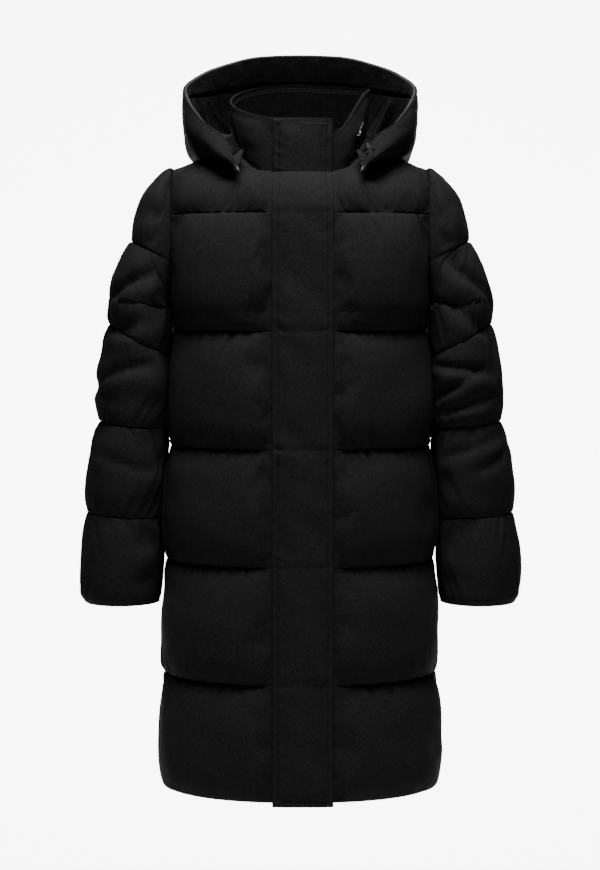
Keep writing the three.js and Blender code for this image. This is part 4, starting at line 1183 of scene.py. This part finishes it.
for side, name in ((-1, "vent_zip_right"), (1, "vent_zip_left")):
    z, y = np.meshgrid(np.linspace(VENT_BOTTOM, VENT_TOP, 40),
                       np.linspace(-VENT_HALF, VENT_HALF, 7), indexing="ij")
    vent_far = stack(side * (section("half", z) + WALL - 1), y, z)
    vent_near = vent_far - [side * 2.0, 0, 0]
    strip_between(name + "_tape", [name], vent_near, vent_far, zip_tape, "zip_tape")

POCKET_TOP, POCKET_BOTTOM, POCKET_WALL, POCKET_GAP = -395.0, -556.0, 2.5, 0.9
for side, name, panel_name in ((-1, "pocket_edge_right", "front_right"),
                               (1, "pocket_edge_left", "front_left")):
    panel = panels[panel_name]
    w = panel["w"][0]
    inside = (w >= 9.0 / FRONT_COLUMNS) & (w <= 9.6 / FRONT_COLUMNS)
    z_row = panel["inner"][:, 0, 2]
    rows = (z_row <= POCKET_TOP) & (z_row >= POCKET_BOTTOM)
    pick = np.ix_(rows, inside)
    out = unit(panel["normals"][pick] * [1, 1, 0.0])
    ridge = np.sin(np.pi * np.linspace(0, 1, inside.sum()))[None, :] ** 0.5
    near = panel["outer"][pick] + out * POCKET_GAP
    far = near + out * (POCKET_WALL - 1.0 + 1.0 * ridge)[..., None]
    strip_between(name + "_welt", [name], near, far, shell_cloth, "shell")
print("zips and welts made")

# %% [markdown]
# ## Topstitching
# Two needles close the flap and the collar with a fine lockstitch. One stitch
# repeats, so a Geometry Nodes tree sets a small thread segment at even steps along each line.
# The line lies on the cloth; the segment sinks a little into it, as a pulled stitch does.

# %% Geometry Nodes tree for rows of stitches or teeth
def add_group_node(tree, kind, **values):
    node = tree.nodes.new(kind)
    for key, value in values.items():
        setattr(node, key, value)
    return node


def make_row_tree(name):
    """Curve in, one small block at each even step, turned along the curve."""
    tree = bpy.data.node_groups.new(name, "GeometryNodeTree")
    group_socket(tree, "Geometry", "INPUT", "NodeSocketGeometry")
    group_socket(tree, "Step", "INPUT", "NodeSocketFloat", 0.003)
    group_socket(tree, "Size", "INPUT", "NodeSocketVector", (0.002, 0.0006, 0.0006))
    group_socket(tree, "Unevenness", "INPUT", "NodeSocketFloat", 0.1)
    group_socket(tree, "Finish", "INPUT", "NodeSocketMaterial")
    group_socket(tree, "Geometry", "OUTPUT", "NodeSocketGeometry")
    link = tree.links.new
    start = add_group_node(tree, "NodeGroupInput")
    end = add_group_node(tree, "NodeGroupOutput")
    points = add_group_node(tree, "GeometryNodeCurveToPoints", mode="LENGTH")
    link(start.outputs["Geometry"], points.inputs["Curve"])
    link(start.outputs["Step"], points.inputs["Length"])
    block = add_group_node(tree, "GeometryNodeMeshUVSphere")
    block.inputs["Segments"].default_value = 6
    block.inputs["Rings"].default_value = 4
    block.inputs["Radius"].default_value = 0.5
    random = add_group_node(tree, "FunctionNodeRandomValue", data_type="FLOAT")
    random.inputs["Seed"].default_value = 5
    vary = add_group_node(tree, "ShaderNodeMath", operation="MULTIPLY")
    link(random.outputs[1], vary.inputs[0])
    link(start.outputs["Unevenness"], vary.inputs[1])
    less = add_group_node(tree, "ShaderNodeMath", operation="SUBTRACT")
    less.inputs[0].default_value = 1.0
    link(vary.outputs[0], less.inputs[1])
    size = add_group_node(tree, "ShaderNodeVectorMath", operation="SCALE")
    link(start.outputs["Size"], size.inputs[0])
    link(less.outputs[0], size.inputs["Scale"])
    instances = add_group_node(tree, "GeometryNodeInstanceOnPoints")
    link(points.outputs["Points"], instances.inputs["Points"])
    link(block.outputs["Mesh"], instances.inputs["Instance"])
    align = add_group_node(tree, "FunctionNodeAlignEulerToVector", axis="X")
    link(points.outputs["Tangent"], align.inputs["Vector"])
    link(align.outputs[0], instances.inputs["Rotation"])
    link(size.outputs[0], instances.inputs["Scale"])
    real = add_group_node(tree, "GeometryNodeRealizeInstances")
    link(instances.outputs[0], real.inputs[0])
    paint = add_group_node(tree, "GeometryNodeSetMaterial")
    link(real.outputs[0], paint.inputs["Geometry"])
    link(start.outputs["Finish"], paint.inputs["Material"])
    link(paint.outputs[0], end.inputs[0])
    return tree


row_tree = make_row_tree("even_row")


def even_rows(name, lines, step, size, unevenness, material):
    """Plain mesh of small pieces set at even steps along each line of points."""
    curves = bpy.data.curves.new(name + "_lines", "CURVE")
    curves.dimensions = "3D"
    for line in lines:
        spline = curves.splines.new("POLY")
        spline.points.add(len(line) - 1)
        flat = np.concatenate([np.asarray(line) * MM, np.ones((len(line), 1))], axis=1)
        spline.points.foreach_set("co", flat.ravel())
    source = bpy.data.objects.new(name + "_source", curves)
    bpy.context.scene.collection.objects.link(source)
    modifier = source.modifiers.new("rows", "NODES")
    modifier.node_group = row_tree
    sockets = {item.name: item.identifier for item in row_tree.interface.items_tree
               if item.in_out == "INPUT"}
    modifier[sockets["Step"]] = step * MM
    modifier[sockets["Size"]] = [v * MM for v in size]
    modifier[sockets["Unevenness"]] = unevenness
    modifier[sockets["Finish"]] = material
    evaluated = source.evaluated_get(bpy.context.evaluated_depsgraph_get())
    mesh = bpy.data.meshes.new_from_object(evaluated)
    mesh.name = name
    obj = bpy.data.objects.new(name, mesh)
    bpy.context.scene.collection.objects.link(obj)
    bpy.data.objects.remove(source)
    mesh.polygons.foreach_set("use_smooth", np.ones(len(mesh.polygons), dtype=bool))
    if not mesh.uv_layers:
        mesh.uv_layers.new(name="cloth_metres")
    obj.data.materials.clear()
    obj.data.materials.append(material)
    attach(obj, "coat")
    print(name, len(mesh.polygons), "faces")
    return obj


# %% Stitch lines
def flap_point(x, z):
    """Point on the flap's face at a distance from the centre and a height."""
    column = np.array([np.interp(x, flap_x, flap_far[k, :, 1]) for k in range(len(flap_far))])
    heights = flap_far[:, 0, 2]
    return x, np.interp(z, heights, column), z


STITCH_SINK = 0.1
stitch_z = np.arange(HEM_Z + 2, FLAP_TOP_Z - FLAP_STITCH, 4.0)
flap_rows = []
for x in (FLAP_LEFT + FLAP_STITCH, FLAP_RIGHT - FLAP_STITCH):
    flap_rows.append([np.array(flap_point(x, z)) + [0, STITCH_SINK, 0] for z in stitch_z])
across_x = np.linspace(FLAP_LEFT + FLAP_STITCH, FLAP_RIGHT - FLAP_STITCH, 24)
for z in (FLAP_TOP_Z - FLAP_STITCH, HEM_Z - FLAP_BELOW + FLAP_STITCH):
    flap_rows.append([np.array(flap_point(x, z)) + [0, STITCH_SINK, 0] for x in across_x])
even_rows("flap_topstitching", flap_rows, 3.6, (2.5, 1.1, 1.0), 0.15, stitch_thread)

collar_rows = []
for share in (0.86, 0.93):
    row = int(round(share * (COLLAR_HEIGHT_STEPS - 1)))
    line = liner[row] + collar_normals[row] * 0.05
    collar_rows.append(line)
even_rows("collar_topstitching", collar_rows, 3.6, (2.5, 1.0, 0.9), 0.15, stitch_thread)

# %% Zip teeth
TOOTH_STEP = 2.6
teeth_lines = [zip_far[:, 2] - [0, 0.5, 0]]
even_rows("front_zip_teeth", teeth_lines, TOOTH_STEP, (1.9, 4.2, 1.6), 0.0, zip_tape)
vent_lines = []
for side in (-1, 1):
    z = np.linspace(VENT_BOTTOM + 2, VENT_TOP - 2, 30)
    vent_lines.append(stack(side * (section("half", z) + WALL - 0.6), 0 * z, z))
even_rows("vent_zip_teeth", vent_lines, TOOTH_STEP, (1.9, 3.6, 1.4), 0.0, zip_tape)
print("stitches and teeth made")

# %% [markdown]
# ## Sliders and pull tabs
# The zip sliders stay where they are. Each pull tab turns on the bar of its slider, so it is a
# body of its own. Both are die-cast metal with soft edges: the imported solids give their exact
# shape and place, and a fine bevel catches the light.

# %% Zip hardware
def metal_material():
    material = bpy.data.materials.new("zip_metal")
    material.use_nodes = True
    tree = material.node_tree
    shader = tree.nodes["Principled BSDF"]
    shader.inputs["Metallic"].default_value = 1.0
    place = tree.nodes.new("ShaderNodeTexCoord")
    noise = tree.nodes.new("ShaderNodeTexNoise")
    noise.inputs["Scale"].default_value = 400
    tree.links.new(place.outputs["Object"], noise.inputs["Vector"])
    tone = rgb(tree, noise.outputs["Fac"], (0.42, 0.42, 0.44), (0.62, 0.62, 0.64))
    tree.links.new(tone, shader.inputs["Base Color"])
    rough = math_node(tree, "MULTIPLY_ADD", noise.outputs["Fac"], 0.12, 0.2)
    tree.links.new(rough, shader.inputs["Roughness"])
    return material


zip_metal = metal_material()


def hardware(node, body):
    """Finer copy of a packed metal solid, with bevelled edges."""
    source = bpy.data.objects[node]
    world = source.matrix_world.copy()
    mesh = source.data.copy()
    mesh.transform(world)
    mesh.name = node + "_metal"
    obj = bpy.data.objects.new(mesh.name, mesh)
    bpy.context.scene.collection.objects.link(obj)
    bevel = obj.modifiers.new("soft_edges", "BEVEL")
    bevel.width = 0.2 * MM
    bevel.segments = 2
    bevel.limit_method = "ANGLE"
    evaluated = obj.evaluated_get(bpy.context.evaluated_depsgraph_get())
    finer = bpy.data.meshes.new_from_object(evaluated)
    obj.modifiers.clear()
    obj.data = finer
    bpy.data.meshes.remove(mesh)
    finish_piece(obj, zip_metal, "zip_metal", node, body=body)
    return obj


for node, body in (("hood_slider", "coat"), ("hood_pull", "hood_pull_tab"),
                   ("vent_slider_right", "coat"), ("vent_pull_right", "vent_pull_tab_right"),
                   ("vent_slider_left", "coat"), ("vent_pull_left", "vent_pull_tab_left")):
    hardware(node, body)
print("hardware made")


# %% Ends of the hood's zip, beside the collar
def on_grid(grid, x, z):
    """Point of a grid's front half nearest to a place seen from the front."""
    away = (grid[..., 0] - x) ** 2 + (grid[..., 2] - z) ** 2 + np.where(grid[..., 1] > 0, 1e6, 0)
    return grid[np.unravel_index(np.argmin(away), away.shape)]


zip_ends = []
for x, heights_seen in ((-82.6, (19.0, 10.0)), (74.0, (15.5, 7.0))):
    cloth = collar_halves[int(np.sign(x))]["outer"]
    zip_ends.append([on_grid(cloth, x, z) - [0, 0.8, 0] for z in heights_seen])
even_rows("hood_zip_ends", zip_ends, 8.0, (3.2, 2.2, 1.6), 0.2, zip_metal)

# %% [markdown]
# ## Backdrop and light
# The picture has a pale seamless sweep. One large soft lamp hangs above and a little in front,
# with weak fill from the front and both sides. Black cloth shows only by its highlights, so the
# tops of the baffles are lit and their undersides fall off, as in the photograph.

# %% Backdrop and lamps
FLOOR_Z, WALL_Y = -1.45, 4.0
BACKDROP_GLOW = 7.0


def backdrop():
    profile = [(-2.4, FLOOR_Z), (WALL_Y - 0.9, FLOOR_Z)]
    for k in range(1, 13):
        turn = np.pi / 2 * k / 12
        profile.append((WALL_Y - 0.9 + 0.9 * np.sin(turn), FLOOR_Z + 0.9 * (1 - np.cos(turn))))
    profile.append((WALL_Y, 1.7))
    points = [(x / MM, y / MM, z / MM) for y, z in profile for x in (-1.45, 1.45)]
    faces = [(2 * k, 2 * k + 1, 2 * k + 3, 2 * k + 2) for k in range(len(profile) - 1)]
    obj = new_object("seamless_sweep", points, faces)
    material = bpy.data.materials.new("pale_paper")
    material.use_nodes = True
    tree = material.node_tree
    shader = tree.nodes["Principled BSDF"]
    shader.inputs["Base Color"].default_value = (0.8, 0.8, 0.8, 1)
    shader.inputs["Roughness"].default_value = 0.95
    shader.inputs["Specular IOR Level"].default_value = 0.0
    shader.inputs["Emission Color"].default_value = (1, 1, 1, 1)
    place = tree.nodes.new("ShaderNodeTexCoord")
    split = tree.nodes.new("ShaderNodeSeparateXYZ")
    tree.links.new(place.outputs["Object"], split.inputs[0])
    glow = tree.nodes.new("ShaderNodeMapRange")
    glow.inputs["From Min"].default_value = 0.8
    glow.inputs["From Max"].default_value = 1.35
    glow.inputs["To Min"].default_value = 0.15
    glow.inputs["To Max"].default_value = BACKDROP_GLOW
    tree.links.new(split.outputs["Y"], glow.inputs["Value"])
    tree.links.new(glow.outputs["Result"], shader.inputs["Emission Strength"])
    obj.data.materials.append(material)
    return obj


sweep = backdrop()


def soft_lamp(name, place, target, size, watts):
    data = bpy.data.lights.new(name, "AREA")
    data.shape = "RECTANGLE"
    data.size, data.size_y = size
    data.energy = watts
    lamp = bpy.data.objects.new(name, data)
    bpy.context.scene.collection.objects.link(lamp)
    lamp.location = Vector(place)
    lamp.rotation_euler = (Vector(target) - Vector(place)).to_track_quat("-Z", "Y").to_euler()
    return lamp


soft_lamp("top_light", (0, -0.78, 2.0), (0, -0.05, -0.35), (1.3, 0.6), 148)
soft_lamp("left_light", (-2.4, -2.2, 1.0), (0, 0, -0.4), (1.2, 1.8), 1.2)
soft_lamp("right_light", (2.4, -2.2, 1.0), (0, 0, -0.4), (1.2, 1.8), 1.2)
soft_lamp("front_fill", (0, -2.6, -0.5), (0, 0, -0.2), (1.8, 1.2), 5)
world = bpy.data.worlds.new("studio")
world.use_nodes = True
world.node_tree.nodes["Background"].inputs["Color"].default_value = (1, 1, 1, 1)
seen = world.node_tree.nodes.new("ShaderNodeLightPath").outputs["Is Camera Ray"]
strength = math_node(world.node_tree, "MULTIPLY_ADD", seen, BACKDROP_GLOW, 0.02)
world.node_tree.links.new(strength, world.node_tree.nodes["Background"].inputs["Strength"])
bpy.context.scene.world = world
